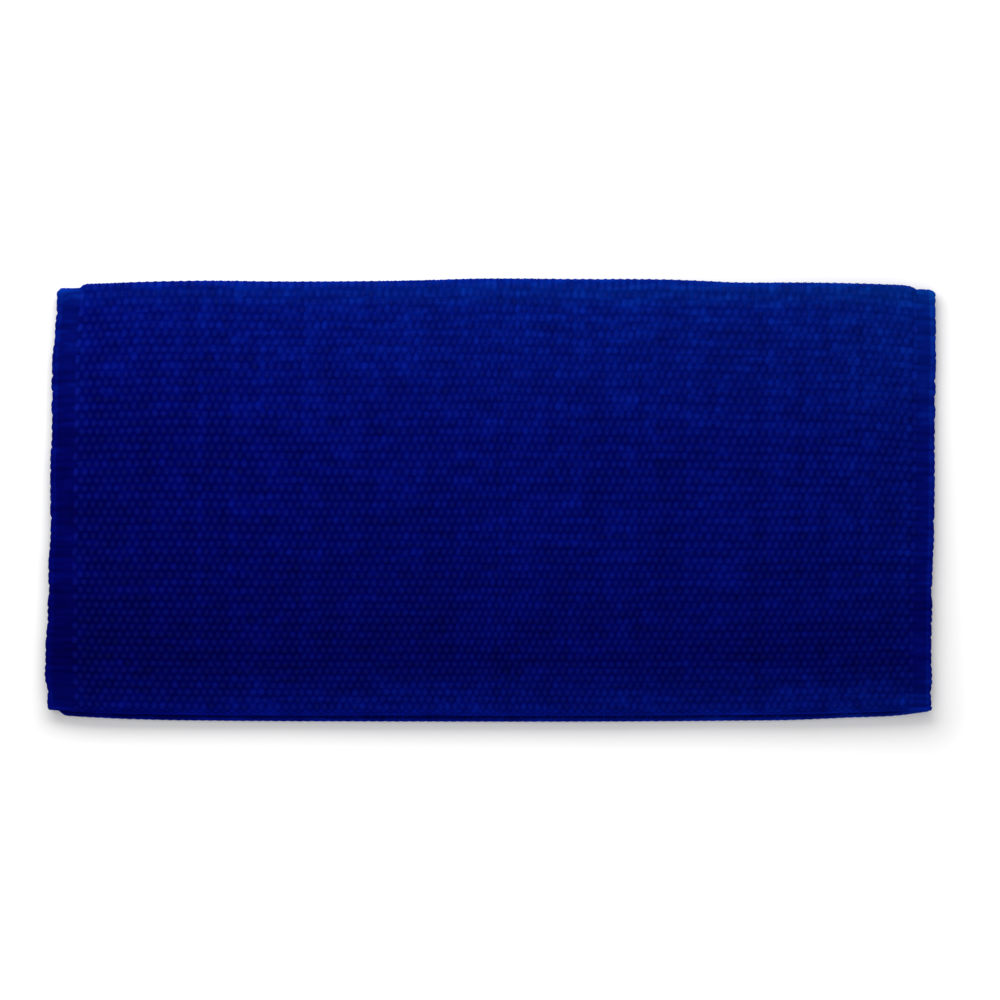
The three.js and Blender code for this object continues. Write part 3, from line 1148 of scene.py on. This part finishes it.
    def _tones(
        self, from_edge: np.ndarray, from_fold: np.ndarray, row: np.ndarray, rib: np.ndarray
    ) -> np.ndarray:
        """Tone of the yarn at each point, uneven from rib to rib.

        Args:
            from_edge: the distance from the side edge.
            from_fold: the distance from the middle of the cloth, where it is folded.
            row: the row, with its fraction.
            rib: 1 on the middle of a rib and 0 between two ribs.

        Returns:
            The tone, lighter in the outer strip and on the thread of the stitched line, with painted light on
            the ribs and on the fold.
        """
        chance = np.random.default_rng(self.seed)
        uneven = chance.normal(0.0, self.unevenness, self.loom.rows + 2)
        outer = 1 - smooth_step(from_edge, self.line_from_edge, self.line_from_edge + self.outer_fade)
        stitch = np.abs(from_edge - self.stitch_from_edge) < SAME_PLACE
        # Painted light on the fold
        fold = self.painted_fold_light[self.side] * (1 - smooth_step(from_fold, *self.fold_light_spread))
        here = np.clip(np.floor(row).astype(int) + 1, 0, self.loom.rows + 1)
        # Painted light on the ribs, and painted shade in the grooves between them
        tone = self.base_tone + self.rib_painted_light * rib + uneven[here]
        return np.clip(tone + self.outer_tone * outer + self.stitch_tone * stitch + fold, 0, 1)

    def _rows(self) -> np.ndarray:
        """Sets out the band's points along it, closer together at its two ends.

        Returns:
            Their places, in rows.
        """
        loom = self.loom
        pitch = loom.row_places[1] - loom.row_places[0]
        margin = loom.edge_to_first_row / pitch
        ends = np.array(self.end_places) * MM / pitch - margin
        ribs = np.arange(loom.rows * self.rib_points + 1) / self.rib_points
        return np.concatenate([ends, ribs, loom.rows - ends[::-1]])

    def _half_thickness(self, from_edge: np.ndarray, row: np.ndarray, rib: np.ndarray) -> np.ndarray:
        """Finds half the thickness of the band, with its rounded rim, ribs and stitched line.

        Args:
            from_edge: the distance of each point from the side edge.
            row: its row, with its fraction.
            rib: 1 on the middle of a rib and 0 between two ribs.

        Returns:
            Half the thickness at each point.
        """
        loom = self.loom
        full = loom.form.header_thickness / 2
        pitch = loom.row_places[1] - loom.row_places[0]
        from_end = (np.minimum(row, loom.rows - row) * pitch + loom.edge_to_first_row).clip(0)
        near_rim = np.minimum(from_edge, from_end)
        round_off = np.sqrt(np.clip(1 - (1 - np.clip(near_rim / full, 0, 1)) ** 2, self.rim_bluntness, 1))
        from_line = np.abs(from_edge - self.line_from_edge)
        line = self.line_depth * np.clip(1 - from_line / self.line_half_width, 0, 1)
        shallow = 1 - smooth_step(from_edge, self.shallow_width, self.line_from_edge)
        ribs = self.rib_depth * (1 - rib) * (1 - self.shallowness * shallow)
        return (full - line - ribs) * round_off


@dataclass
class WarpCore:
    """The warps inside the body, which the weft hides but for the narrow gaps between its floats.

    Attributes:
        loom: where the rows and picks lie.
        thickness: the thickness of the sheet of warps.
        end_margin: how far from the open edges it ends.
        columns: how many stretches it is modelled in across.
        rows: how many it is modelled in along.
        crowding: how much closer together they are at the fold: 1 is evenly.
    """

    loom: Loom
    thickness: float = 2.2 * MM
    end_margin: float = 2.3 * MM
    columns: int = 36
    rows: int = 100
    crowding: float = 1.6

    def build(self) -> bpy.types.Object:
        """Models the warps as one thin folded sheet from a flat grid.

        Returns:
            The finished mesh object.
        """
        loom = self.loom
        form = loom.form
        left = loom.side_to_edge_pick[Side.LEFT]
        right = form.flat_width - loom.side_to_edge_pick[Side.RIGHT]
        core = add_grid("warp_core", self.columns, self.rows)
        grid = places_of(core) + 0.5
        middle = form.flat_length / 2
        crowded = np.sign(grid[:, 1] - 0.5) * np.abs(2 * grid[:, 1] - 1) ** self.crowding
        across = blend(left, right, (1 - np.cos(np.pi * grid[:, 0])) / 2)
        along = middle + crowded * (middle - self.end_margin)
        move_to(core, np.stack([across, along, 0 * across], axis=-1))
        apply_modifier(core, "SOLIDIFY", thickness=self.thickness, offset=0.0)
        move_to(core, form.lay(places_of(core)))
        turn_faces_out(core)
        return core


@dataclass
class SelvageCord:
    """The two-strand cord in the cloth's open edge, round which the weft turns back.

    Attributes:
        loom: where the cloth lies.
        leaf: the leaf whose open edge it is in.
        strand_radius: the radius of a strand.
        twist_radius: the distance from the cord's middle to a strand's.
        twist_pitch: the length of one turn of the strands.
        rings_a_twist: the rings of a strand's points in one turn.
        section_angles: the corners of a strand's section, in degrees.
        left_margin: how far the cord ends inside the left side edge.
        right_reach: how far the upper leaf's cord ends past the right side edge.
        end_reach: how far a strand goes on past its first and its last ring.
        end_taper: how thick a strand's ends are, as a share of its thickness.
        upper_tone: the tone of the upper leaf's cord.
        lower_tone: the tone of the lower leaf's cord, set lighter than the upper one's: painted light in the
        shade that the upper leaf casts on it.
    """

    loom: Loom
    leaf: Leaf
    strand_radius: float = 2.0 * MM
    twist_radius: float = 0.42 * MM
    twist_pitch: float = 17 * MM
    rings_a_twist: int = 8
    section_angles: tuple[float, ...] = (0, 60, 120, 180, 240, 300)
    left_margin: float = 0.6 * MM
    right_reach: float = 0.5 * MM
    end_reach: float = 0.3 * MM
    end_taper: float = 0.55
    upper_tone: float = 0.45
    # Painted light: the lower cord is lighter, to lift the upper leaf's shade on it
    lower_tone: float = 0.65

    def build(self) -> bpy.types.Object:
        """Models the cord: one straight strand is drawn out, copied, twisted with its copy and laid.

        Returns:
            The finished mesh object.
        """
        length = self.loom.form.flat_width - self.left_margin
        length += self.right_reach if self.leaf is Leaf.UPPER else 0.0
        twists = round(length / self.twist_pitch)
        gap = length / twists / self.rings_a_twist
        gaps = [gap] * self.rings_a_twist
        strand = draw_yarn(f"selvage_{self.leaf.value}", self.section_angles, gaps, twists, self.end_reach)
        take_up(strand)
        bpy.ops.object.duplicate()
        other = bpy.context.object
        self._twist(strand, 0.0)
        self._twist(other, np.pi)
        take_up(strand, other)
        bpy.ops.object.join()
        tone = self.upper_tone if self.leaf is Leaf.UPPER else self.lower_tone
        set_tone(strand, np.full(len(strand.data.vertices), tone))
        turn_faces_out(strand)
        return strand

    def _twist(self, strand: bpy.types.Object, start: float) -> None:
        """Winds a straight strand round the cord's middle and lays it in the open edge.

        Args:
            strand: the strand.
            start: the angle at which its winding starts.
        """
        form = self.loom.form
        places = places_of(strand)
        angle = start + 2 * np.pi * places[:, 1] / self.twist_pitch
        at_end = np.abs(places[:, 1] - places[:, 1].mean()) > np.ptp(places[:, 1]) / 2 - SAME_PLACE
        thickness = self.strand_radius / MM * np.where(at_end, self.end_taper, 1.0)
        reach = self.strand_radius + self.twist_radius
        from_edge = reach + self.twist_radius * np.cos(angle) + places[:, 0] * thickness
        along = from_edge if self.leaf is Leaf.UPPER else form.flat_length - from_edge
        out = self.twist_radius * np.sin(angle) + places[:, 2] * thickness
        across = self.left_margin + places[:, 1]
        move_to(strand, form.lay(np.stack([across, along, out], axis=-1)))


def linear(hex_colour: str) -> tuple[float, float, float, float]:
    """Turns an sRGB hex colour to the linear values that the shaders take.

    Args:
        hex_colour: the colour, such as "#04108a".

    Returns:
        Red, green, blue and full alpha.
    """
    parts = [int(hex_colour[place:place + 2], 16) / 255 for place in (1, 3, 5)]
    values = [part / 12.92 if part <= 0.04045 else ((part + 0.055) / 1.055) ** 2.4 for part in parts]
    return (*values, 1.0)


def add_node(
    tree: bpy.types.NodeTree,
    kind: str,
    settings: Mapping[str | int, Any] | None = None,
    links: Mapping[str | int, bpy.types.NodeSocket] | None = None,
) -> bpy.types.Node:
    """Adds a node to a material with its settings and links.

    Args:
        tree: the material's node tree.
        kind: the node's type, such as "ShaderNodeTexNoise".
        settings: the node's properties, or its inputs by name or number, with their values.
        links: the node's inputs by name or number, each with the socket that feeds it.

    Returns:
        The new node.
    """
    node = tree.nodes.new(kind)
    for name, value in (settings or {}).items():
        if isinstance(name, str) and hasattr(node, name):
            setattr(node, name, value)
        else:
            node.inputs[name].default_value = value
    for name, source in (links or {}).items():
        tree.links.new(source, node.inputs[name])
    return node


def start_material(name: str) -> bpy.types.Material:
    """Makes a material of nodes, as yet without any.

    Args:
        name: the material's name.

    Returns:
        The material.
    """
    material = bpy.data.materials.new(name)
    material.use_nodes = True
    material.node_tree.nodes.clear()
    return material


@dataclass(frozen=True)
class DyedWool:
    """Royal blue dyed wool yarn: a matt, fuzzy surface with a faint blue sheen, because light scatters many
    times between its dyed fibres and hardly any comes straight back from them.

    Attributes:
        name: the material's name.
        deep: the colour between the fibres.
        body: the colour of most of the yarn.
        light: the colour of the lighter lengths of yarn.
        painted_light_along: what the dye's colour is multiplied by on the way from the open edges, at 0, to
            the
        fold, at 1: painted light and shade, lighter at the very open edges, darkest a little inside them,
        lighter and greener towards the fold and a little darker again right on it.
        painted_light_across: what it is multiplied by on the way from the left side edge, at 0, to the right
            one:
        painted light and shade, lighter towards the right side edge.
        painted_highlight: a painted highlight, pale and greyish: what is added to the colour at the very top
            of each float.
        painted_highlight_narrowness: how narrow that painted highlight is across the yarn. It is odd, so that
            it keeps its sign.
        yarn_map: the map of the piece's yarns, where it has one.
        plies: how many plies the yarn has.
        ply_turns: how many turns of the plies a row of the weave shows.
        tone_share: how much of the shade comes from the yarn's own tone.
        dash_size: the size along X, Y and Z of the lighter and darker lengths of the yarn.
        dash_share: how much of the shade comes from them.
        patch_size: the size of the large, faint patches of uneven dye.
        patch_share: how much of the shade comes from them.
        fineness: how strong the finer unevenness is in the lengths, the patches and the tufts.
        fuzz_size: the size of the tufts of fibre, drawn coarser than real fibres so that they show.
        fuzz_share: how much of the shade comes from them.
        fuzz_height: the height of those tufts.
        ply_height: the height of the plies, or of the fine weft over a header's ribs.
        hatch_pitch: the distance between the fine picks of a header, or 0 where there are none.
        scattering: how evenly the wool sends light back, whichever way it faces: 0 is a plain matt surface.
        roughness: the least and the most roughness of its surface.
        sheen: the strength of its sheen.
        sheen_roughness: how widely that sheen spreads.
        sheen_tint: the colour of that sheen.
    """

    name: str
    deep: str = "#01195e"
    body: str = "#012984"
    light: str = "#0246ac"
    # Painted light and shade along the cloth, lighter and greener towards the fold
    painted_light_along: tuple[tuple[float, str], ...] = (
        (0.0, "#ffb6fe"), (0.021, "#ffb6fe"), (0.033, "#ff96e4"), (0.085, "#ff73cc"), (0.14, "#ff4eb8"),
        (0.32, "#ff65c9"), (0.62, "#ff78d3"), (0.73, "#ff8fdd"), (0.82, "#ffa8ea"), (0.93, "#ffbbef"),
        (0.97, "#fafafc"), (1.0, "#f0dcf2"),
    )
    # Painted light and shade across the cloth, lighter towards the right side edge
    painted_light_across: tuple[tuple[float, str], ...] = (
        (0.0, "#ff9cd6"), (0.036, "#ff98d0"), (0.044, "#ff76cb"), (0.15, "#ff8fd7"), (0.5, "#ffb4e3"),
        (0.85, "#ffc9e8"), (0.94, "#ffdfec"), (1.0, "#fffafa"),
    )
    painted_highlight: str = "#080d2b"
    painted_highlight_narrowness: float = 5.0
    yarn_map: YarnMap | None = None
    plies: int = 2
    ply_turns: float = 1.5
    tone_share: float = 0.5
    dash_size: tuple[float, float, float] = (26 * MM, 7 * MM, 30 * MM)
    dash_share: float = 0.95
    patch_size: tuple[float, float, float] = (90 * MM, 60 * MM, 90 * MM)
    patch_share: float = 0.3
    fineness: float = 0.55
    fuzz_size: float = 1.3 * MM
    fuzz_share: float = 0.3
    fuzz_height: float = 0.25 * MM
    ply_height: float = 0.3 * MM
    hatch_pitch: float = 0.0
    scattering: float = 0.92
    roughness: tuple[float, float] = (0.80, 0.98)
    sheen: float = 0.08
    sheen_roughness: float = 0.5
    sheen_tint: str = "#0040ff"

    def build(self) -> bpy.types.Material:
        """Makes the material from nodes.

        Returns:
            The material.
        """
        material = start_material(self.name)
        tree = material.node_tree
        place = add_node(tree, "ShaderNodeTexCoord").outputs["Object"]
        fuzz = self._uneven_patches(tree, place, (self.fuzz_size,) * 3, 3.0)
        dashes = self._uneven_patches(tree, place, self.dash_size, 1.5)
        patches = self._uneven_patches(tree, place, self.patch_size, 2.0)
        tone = add_node(tree, "ShaderNodeAttribute", {"attribute_name": TONE}).outputs["Fac"]
        shares = (
            (tone, self.tone_share),
            (dashes, self.dash_share),
            (patches, self.patch_share),
            (fuzz, self.fuzz_share),
        )
        shade = self._weigh(tree, shares, 0.5 - sum(share for _, share in shares) / 2)
        dyes = add_node(tree, "ShaderNodeValToRGB", links={"Fac": shade})
        self._set_stops(dyes, ((0.0, self.deep), (0.5, self.body), (1.0, self.light)))
        colour = self._paint_highlight(tree, self._paint_light_gradients(tree, place, dyes.outputs["Color"]))
        height = add_node(
            tree, "ShaderNodeMath", {"operation": "MULTIPLY", 1: self.fuzz_height}, {0: fuzz}
        ).outputs[0]
        for relief in self._reliefs(tree, place):
            height = add_node(tree, "ShaderNodeMath", {"operation": "ADD"}, {0: height, 1: relief}).outputs[0]
        bump = add_node(
            tree, "ShaderNodeBump", {"Strength": 1.0, "Distance": 1.0}, {"Height": height}
        ).outputs["Normal"]
        smoothest, roughest = self.roughness
        roughness = add_node(
            tree, "ShaderNodeMapRange", {"To Min": smoothest, "To Max": roughest}, {"Value": fuzz}
        ).outputs["Result"]
        shader = add_node(
            tree,
            "ShaderNodeBsdfPrincipled",
            {
                "Metallic": 0.0,
                "Diffuse Roughness": self.scattering,
                "Specular IOR Level": 0.0,
                "Sheen Weight": self.sheen,
                "Sheen Roughness": self.sheen_roughness,
                "Sheen Tint": linear(self.sheen_tint),
            },
            {"Base Color": colour, "Roughness": roughness, "Normal": bump},
        )
        add_node(tree, "ShaderNodeOutputMaterial", links={"Surface": shader.outputs["BSDF"]})
        return material

    def _paint_light_gradients(
        self, tree: bpy.types.NodeTree, place: bpy.types.NodeSocket, colour: bpy.types.NodeSocket
    ) -> bpy.types.NodeSocket:
        """Paints light and shade into the dye's colour: along the cloth towards its fold, and across it.

        Args:
            tree: the material's node tree.
            place: the place on the piece.
            colour: the colour without its painted light and shade.

        Returns:
            The colour with its painted light and shade.
        """
        axes = add_node(tree, "ShaderNodeSeparateXYZ", links={"Vector": place})
        width, length = BLANKET_SIZE
        # Painted light and shade, along the cloth and across it
        for axis, size, tints in (("Y", length, self.painted_light_along), ("X", width, self.painted_light_across)):
            share = self._weigh(tree, ((axes.outputs[axis], 1 / size),), 0.5)
            tint = add_node(tree, "ShaderNodeValToRGB", links={"Fac": share})
            self._set_stops(tint, tints)
            colour = add_node(
                tree,
                "ShaderNodeVectorMath",
                {"operation": "MULTIPLY"},
                {0: colour, 1: tint.outputs["Color"]},
            ).outputs[0]
        return colour

    def _set_stops(self, ramp: bpy.types.Node, stops: Sequence[tuple[float, str]]) -> None:
        """Sets the colours of a ramp.

        Args:
            ramp: the ramp's node.
            stops: the places of the colours, from 0 to 1, each with its colour.
        """
        elements = ramp.color_ramp.elements
        elements[1].position = stops[-1][0]
        elements[1].color = linear(stops[-1][1])
        elements[0].position = stops[0][0]
        elements[0].color = linear(stops[0][1])
        for position, colour in stops[1:-1]:
            elements.new(position).color = linear(colour)

    def _paint_highlight(self, tree: bpy.types.NodeTree, colour: bpy.types.NodeSocket) -> bpy.types.NodeSocket:
        """Paints a pale highlight on the tops of the floats.

        Args:
            tree: the material's node tree.
            colour: the colour without that highlight.

        Returns:
            The colour with its painted highlight.
        """
        if self.yarn_map is None:
            return colour
        over, up = self._float_shares(tree)
        narrow = add_node(
            tree, "ShaderNodeMath", {"operation": "POWER", 1: self.painted_highlight_narrowness}, {0: up}
        ).outputs[0]
        # Painted highlight, strongest at the very top of each float
        crown = add_node(tree, "ShaderNodeMath", {"operation": "MULTIPLY"}, {0: over, 1: narrow}).outputs[0]
        top = add_node(tree, "ShaderNodeMath", {"operation": "MAXIMUM", 1: 0.0}, {0: crown}).outputs[0]
        return add_node(
            tree,
            "ShaderNodeVectorMath",
            {"operation": "MULTIPLY_ADD", 0: linear(self.painted_highlight)[:3]},
            {1: top, 2: colour},
        ).outputs[0]

    def _float_shares(self, tree: bpy.types.NodeTree) -> tuple[bpy.types.NodeSocket, bpy.types.NodeSocket]:
        """Finds where on its float a place lies, from the yarn's map.

        Args:
            tree: the material's node tree.

        Returns:
            How far the yarn passes over its row, from -1 to 1, and how far the place is up its side.
        """
        spot = add_node(tree, "ShaderNodeUVMap", {"uv_map": BAKE_MAP}).outputs["UV"]
        axes = add_node(tree, "ShaderNodeSeparateXYZ", links={"Vector": spot})
        known = self.yarn_map
        rows_a_unit = known.rows / (1 - 2 * known.end_margin)
        start = known.first_row - rows_a_unit * known.end_margin - 0.5
        phase = self._weigh(tree, ((axes.outputs["X"], math.pi * rows_a_unit),), math.pi * start)
        strip = self._weigh(tree, ((axes.outputs["Y"], known.strips),), 0.0)
        strip = add_node(tree, "ShaderNodeMath", {"operation": "FRACT"}, {0: strip}).outputs[0]
        turns_a_strip = 2 * math.pi / (1 - 2 * known.side_margin)
        angle = self._weigh(tree, ((strip, turns_a_strip),), -turns_a_strip * known.side_margin)
        return (
            add_node(tree, "ShaderNodeMath", {"operation": "COSINE"}, {0: phase}).outputs[0],
            add_node(tree, "ShaderNodeMath", {"operation": "SINE"}, {0: angle}).outputs[0],
        )

    def _uneven_patches(
        self,
        tree: bpy.types.NodeTree,
        place: bpy.types.NodeSocket,
        sizes: Sequence[float],
        detail: float,
    ) -> bpy.types.NodeSocket:
        """Adds unevenness in patches of the given sizes.

        Args:
            tree: the material's node tree.
            place: the place on the piece.
            sizes: the size of the patches along X, Y and Z.
            detail: how much finer unevenness is added.

        Returns:
            The unevenness, from 0 to 1.
        """
        scaled = add_node(
            tree, "ShaderNodeMapping", {"Scale": tuple(1 / size for size in sizes)}, {"Vector": place}
        ).outputs["Vector"]
        return add_node(
            tree,
            "ShaderNodeTexNoise",
            {"Scale": 1.0, "Detail": detail, "Roughness": self.fineness},
            {"Vector": scaled},
        ).outputs["Fac"]

    def _weigh(
        self,
        tree: bpy.types.NodeTree,
        shares: Sequence[tuple[bpy.types.NodeSocket, float]],
        start: float,
    ) -> bpy.types.NodeSocket:
        """Adds up several values, each with its weight.

        Args:
            tree: the material's node tree.
            shares: the values with their weights.
            start: what the sum starts from.

        Returns:
            The sum.
        """
        total = None
        for value, weight in shares:
            links = {0: value} if total is None else {0: value, 2: total}
            settings = {"operation": "MULTIPLY_ADD", 1: weight, 2: start}
            total = add_node(tree, "ShaderNodeMath", settings, links).outputs[0]
        return total

    def _reliefs(
        self, tree: bpy.types.NodeTree, place: bpy.types.NodeSocket
    ) -> list[bpy.types.NodeSocket]:
        """Adds the relief of the yarn's plies, or of the fine weft over a header's ribs.

        Args:
            tree: the material's node tree.
            place: the place on the piece.

        Returns:
            The height of each relief that the piece has.
        """
        if self.yarn_map:
            spot = add_node(tree, "ShaderNodeUVMap", {"uv_map": BAKE_MAP}).outputs["UV"]
            axes = add_node(tree, "ShaderNodeSeparateXYZ", links={"Vector": spot})
            turns = self._weigh(
                tree,
                (
                    (axes.outputs["X"], 2 * math.pi * self.yarn_map.rows * self.ply_turns),
                    (axes.outputs["Y"], 2 * math.pi * self.yarn_map.strips * self.plies),
                ),
                0.0,
            )
            return [self._wave(tree, turns, self.ply_height)]
        if self.hatch_pitch:
            axes = add_node(tree, "ShaderNodeSeparateXYZ", links={"Vector": place})
            turns = self._weigh(tree, ((axes.outputs["X"], 2 * math.pi / self.hatch_pitch),), 0.0)
            return [self._wave(tree, turns, self.ply_height)]
        return []

    def _wave(
        self, tree: bpy.types.NodeTree, turns: bpy.types.NodeSocket, height: float
    ) -> bpy.types.NodeSocket:
        """Adds a wave of the given height that follows an angle.

        Args:
            tree: the material's node tree.
            turns: the angle.
            height: the wave's height, from its lowest to its highest.

        Returns:
            The height at each place, measured from the wave's middle.
        """
        wave = add_node(tree, "ShaderNodeMath", {"operation": "SINE"}, {0: turns}).outputs[0]
        half = {"operation": "MULTIPLY", 1: height / 2}
        return add_node(tree, "ShaderNodeMath", half, {0: wave}).outputs[0]


@dataclass(frozen=True)
class PaleFloor:
    """A plain white matt studio floor that glows, more the farther it lies from the blanket: painted light,
    so that it looks plain white all over but for the blanket's own soft shadow.

    Attributes:
        name: the material's name.
        colour: the floor's colour.
        roughness: its roughness.
        near_glow: how much it glows where the blanket lies.
        far_glow: how much it glows from the glow's reach on.
        dark_size: half the width and length of the part in the middle that glows least.
        glow_reach: how far outside that part the glow is full.
    """

    name: str = "pale_floor"
    colour: str = "#f2f2f2"
    roughness: float = 0.9
    near_glow: float = 0.0
    far_glow: float = 0.8
    dark_size: tuple[float, float] = (0.45, 0.22)
    glow_reach: float = 0.16

    def build(self) -> bpy.types.Material:
        """Makes the material from nodes.

        Returns:
            The material.
        """
        material = start_material(self.name)
        tree = material.node_tree
        place = add_node(tree, "ShaderNodeTexCoord").outputs["Object"]
        either_way = add_node(tree, "ShaderNodeVectorMath", {"operation": "ABSOLUTE"}, {0: place}).outputs[0]
        beside = add_node(
            tree,
            "ShaderNodeVectorMath",
            {"operation": "SUBTRACT", 1: (*self.dark_size, 0.0)},
            {0: either_way},
        ).outputs[0]
        outside = add_node(
            tree, "ShaderNodeVectorMath", {"operation": "MAXIMUM", 1: (0.0, 0.0, 0.0)}, {0: beside}
        ).outputs[0]
        distance = add_node(
            tree, "ShaderNodeVectorMath", {"operation": "LENGTH"}, {0: outside}
        ).outputs["Value"]
        # Painted light: the floor glows more the farther it lies from the blanket
        glow = add_node(
            tree,
            "ShaderNodeMapRange",
            {
                "interpolation_type": "SMOOTHSTEP",
                "From Min": 0.0,
                "From Max": self.glow_reach,
                "To Min": self.near_glow,
                "To Max": self.far_glow,
            },
            {"Value": distance},
        ).outputs["Result"]
        shader = add_node(
            tree,
            "ShaderNodeBsdfPrincipled",
            {
                "Base Color": linear(self.colour),
                "Roughness": self.roughness,
                "Specular IOR Level": 0.0,
                "Emission Color": (1.0, 1.0, 1.0, 1.0),
            },
            {"Emission Strength": glow},
        )
        add_node(tree, "ShaderNodeOutputMaterial", links={"Surface": shader.outputs["BSDF"]})
        return material


@dataclass
class Studio:
    """A plain pale floor, soft daylight from all round and a long soft lamp past the fold.

    Attributes:
        form: the form in which the blanket lies.
        floor_size: the width and length of the floor.
        floor_drop: how far the floor lies under the blanket.
        lamp_place: where the lamp hangs.
        lamp_tilt: how far it is turned from straight down towards the blanket, in degrees.
        lamp_size: its width and length.
        lamp_power: its power in watts.
        daylight: the strength of the daylight.
        camera_height: the height of the camera.
        camera_range: how far the camera sees.
        view_width: the width of the picture at the blanket's height.
        view_centre: the middle of the picture, measured from the middle of the form.
        sensor_width: the width of the camera's sensor, in millimetres.
        sharp_height: the height at which the picture has that width.
    """

    form: FoldedForm
    floor_size: float = 12.0
    floor_drop: float = 0.2 * MM
    lamp_place: tuple[float, float, float] = (-0.34, 0.74, 0.68)
    lamp_tilt: float = 46.0
    lamp_size: tuple[float, float] = (1.7, 0.5)
    lamp_power: float = 12.0
    daylight: float = 0.72
    camera_height: float = 5.0
    camera_range: float = 50.0
    view_width: float = 1.035
    view_centre: tuple[float, float] = (8.5 * MM, 0.1 * MM)
    sensor_width: float = 36.0
    sharp_height: float = 11 * MM

    def build(self) -> None:
        """Sets up the camera, the floor and the lights."""
        self._add_camera()
        self._add_floor()
        self._add_lights()
        view = bpy.context.scene.view_settings
        view.view_transform = "Standard"
        view.look = "None"

    def _add_camera(self) -> None:
        """Adds the camera, straight above the blanket with a long lens."""
        data = bpy.data.cameras.new("camera")
        camera = bpy.data.objects.new("camera", data)
        bpy.context.scene.collection.objects.link(camera)
        across, along = np.array(self.view_centre) + self.form.shift[:2]
        camera.location = (across, along, self.camera_height)
        data.sensor_width = self.sensor_width
        data.lens = self.sensor_width * (self.camera_height - self.sharp_height) / self.view_width
        data.clip_end = self.camera_range
        bpy.context.scene.camera = camera

    def _add_floor(self) -> None:
        """Adds the floor, just under the blanket."""
        bpy.ops.object.select_all(action="DESELECT")
        bpy.ops.mesh.primitive_plane_add(size=self.floor_size, location=(0, 0, -self.floor_drop))
        floor = bpy.context.object
        floor.name = "floor"
        floor.data.materials.append(PaleFloor().build())

    def _add_lights(self) -> None:
        """Adds the lamp, turned down towards the blanket, and the daylight."""
        data = bpy.data.lights.new("lamp", "AREA")
        data.shape = "RECTANGLE"
        data.size, data.size_y = self.lamp_size
        data.energy = self.lamp_power
        lamp = bpy.data.objects.new("lamp", data)
        bpy.context.scene.collection.objects.link(lamp)
        lamp.location = self.lamp_place
        lamp.rotation_euler = (math.radians(-self.lamp_tilt), 0, 0)
        lamp.visible_camera = False
        world = bpy.data.worlds.new("daylight")
        world.use_nodes = True
        background = world.node_tree.nodes["Background"]
        background.inputs["Color"].default_value = (1.0, 1.0, 1.0, 1.0)
        background.inputs["Strength"].default_value = self.daylight
        bpy.context.scene.world = world


@dataclass
class SaddleBlanket:
    """The whole blanket: its warps, its two headers, its selvages and the weft that is woven in.

    Attributes:
        form: the form in which it lies.
        loom: where its rows and picks lie.
        panels: how many pieces the body's weft is modelled in.
    """

    form: FoldedForm
    loom: Loom
    panels: int = 6

    def build(self) -> list[bpy.types.Object]:
        """Returns:
            The pieces.
        """
        cloth = WarpCore(self.loom).build()
        bands = [HeaderBand(self.loom, side).build() for side in Side]
        cords = [SelvageCord(self.loom, leaf).build() for leaf in Leaf]
        edges = [EdgePick(self.loom, side=side).build() for side in Side]
        pairs = self.loom.picks // self.panels // 2
        panels = [
            WeftPanel(self.loom, first=panel * 2 * pairs, pairs=pairs).build() for panel in range(self.panels)
        ]
        warp = DyedWool("dyed_warp_wool", deep="#010f34", body="#021f5c", light="#032f7b")
        header = DyedWool(
            "fine_header_wool",
            deep="#021a5c",
            body="#032c87",
            light="#0554b8",
            hatch_pitch=1.9 * MM,
            ply_height=0.12 * MM,
            fuzz_size=0.9 * MM,
        )
        weft = DyedWool("thick_weft_wool", yarn_map=WeftYarn(self.loom).yarn_map(2 * pairs))
        edge = DyedWool(
            "doubled_weft_wool",
            body="#032c8a",
            light="#0548b0",
            painted_highlight="#080d30",
            # with a painted highlight on the tops of its floats
            yarn_map=WeftYarn(self.loom).yarn_map(1),
        )
        # The cord's wool is lighter than the weft's: painted light on a cord turned away from the lamp
        cord = DyedWool("selvage_wool", body="#043096", light="#0652c0")
        self._dress([cloth], warp)
        self._dress(bands, header)
        self._dress(cords, cord)
        self._dress(edges, edge)
        self._dress(panels, weft)
        woven_in = [*bands, *cords, *edges, *panels]
        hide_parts("blanket")
        return [cloth, *woven_in]

    def _dress(self, pieces: Sequence[bpy.types.Object], finish: DyedWool) -> None:
        """Gives pieces their finish, and lets them ride on the blanket's body.

        Args:
            pieces: the pieces.
            finish: their finish.
        """
        material = finish.build()
        for piece in pieces:
            piece.data.materials.clear()
            piece.data.materials.append(material)
            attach(piece, "root")


def main() -> None:
    """Builds the studio and the blanket, and reports each piece."""
    logging.basicConfig(level=logging.INFO, format="%(message)s")
    form = FoldedForm()
    Studio(form).build()
    for piece in SaddleBlanket(form, Loom(form)).build():
        piece.data.calc_loop_triangles()
        log.info("%s: %d triangles", piece.name, len(piece.data.loop_triangles))


if __name__ == "__main__":
    main()
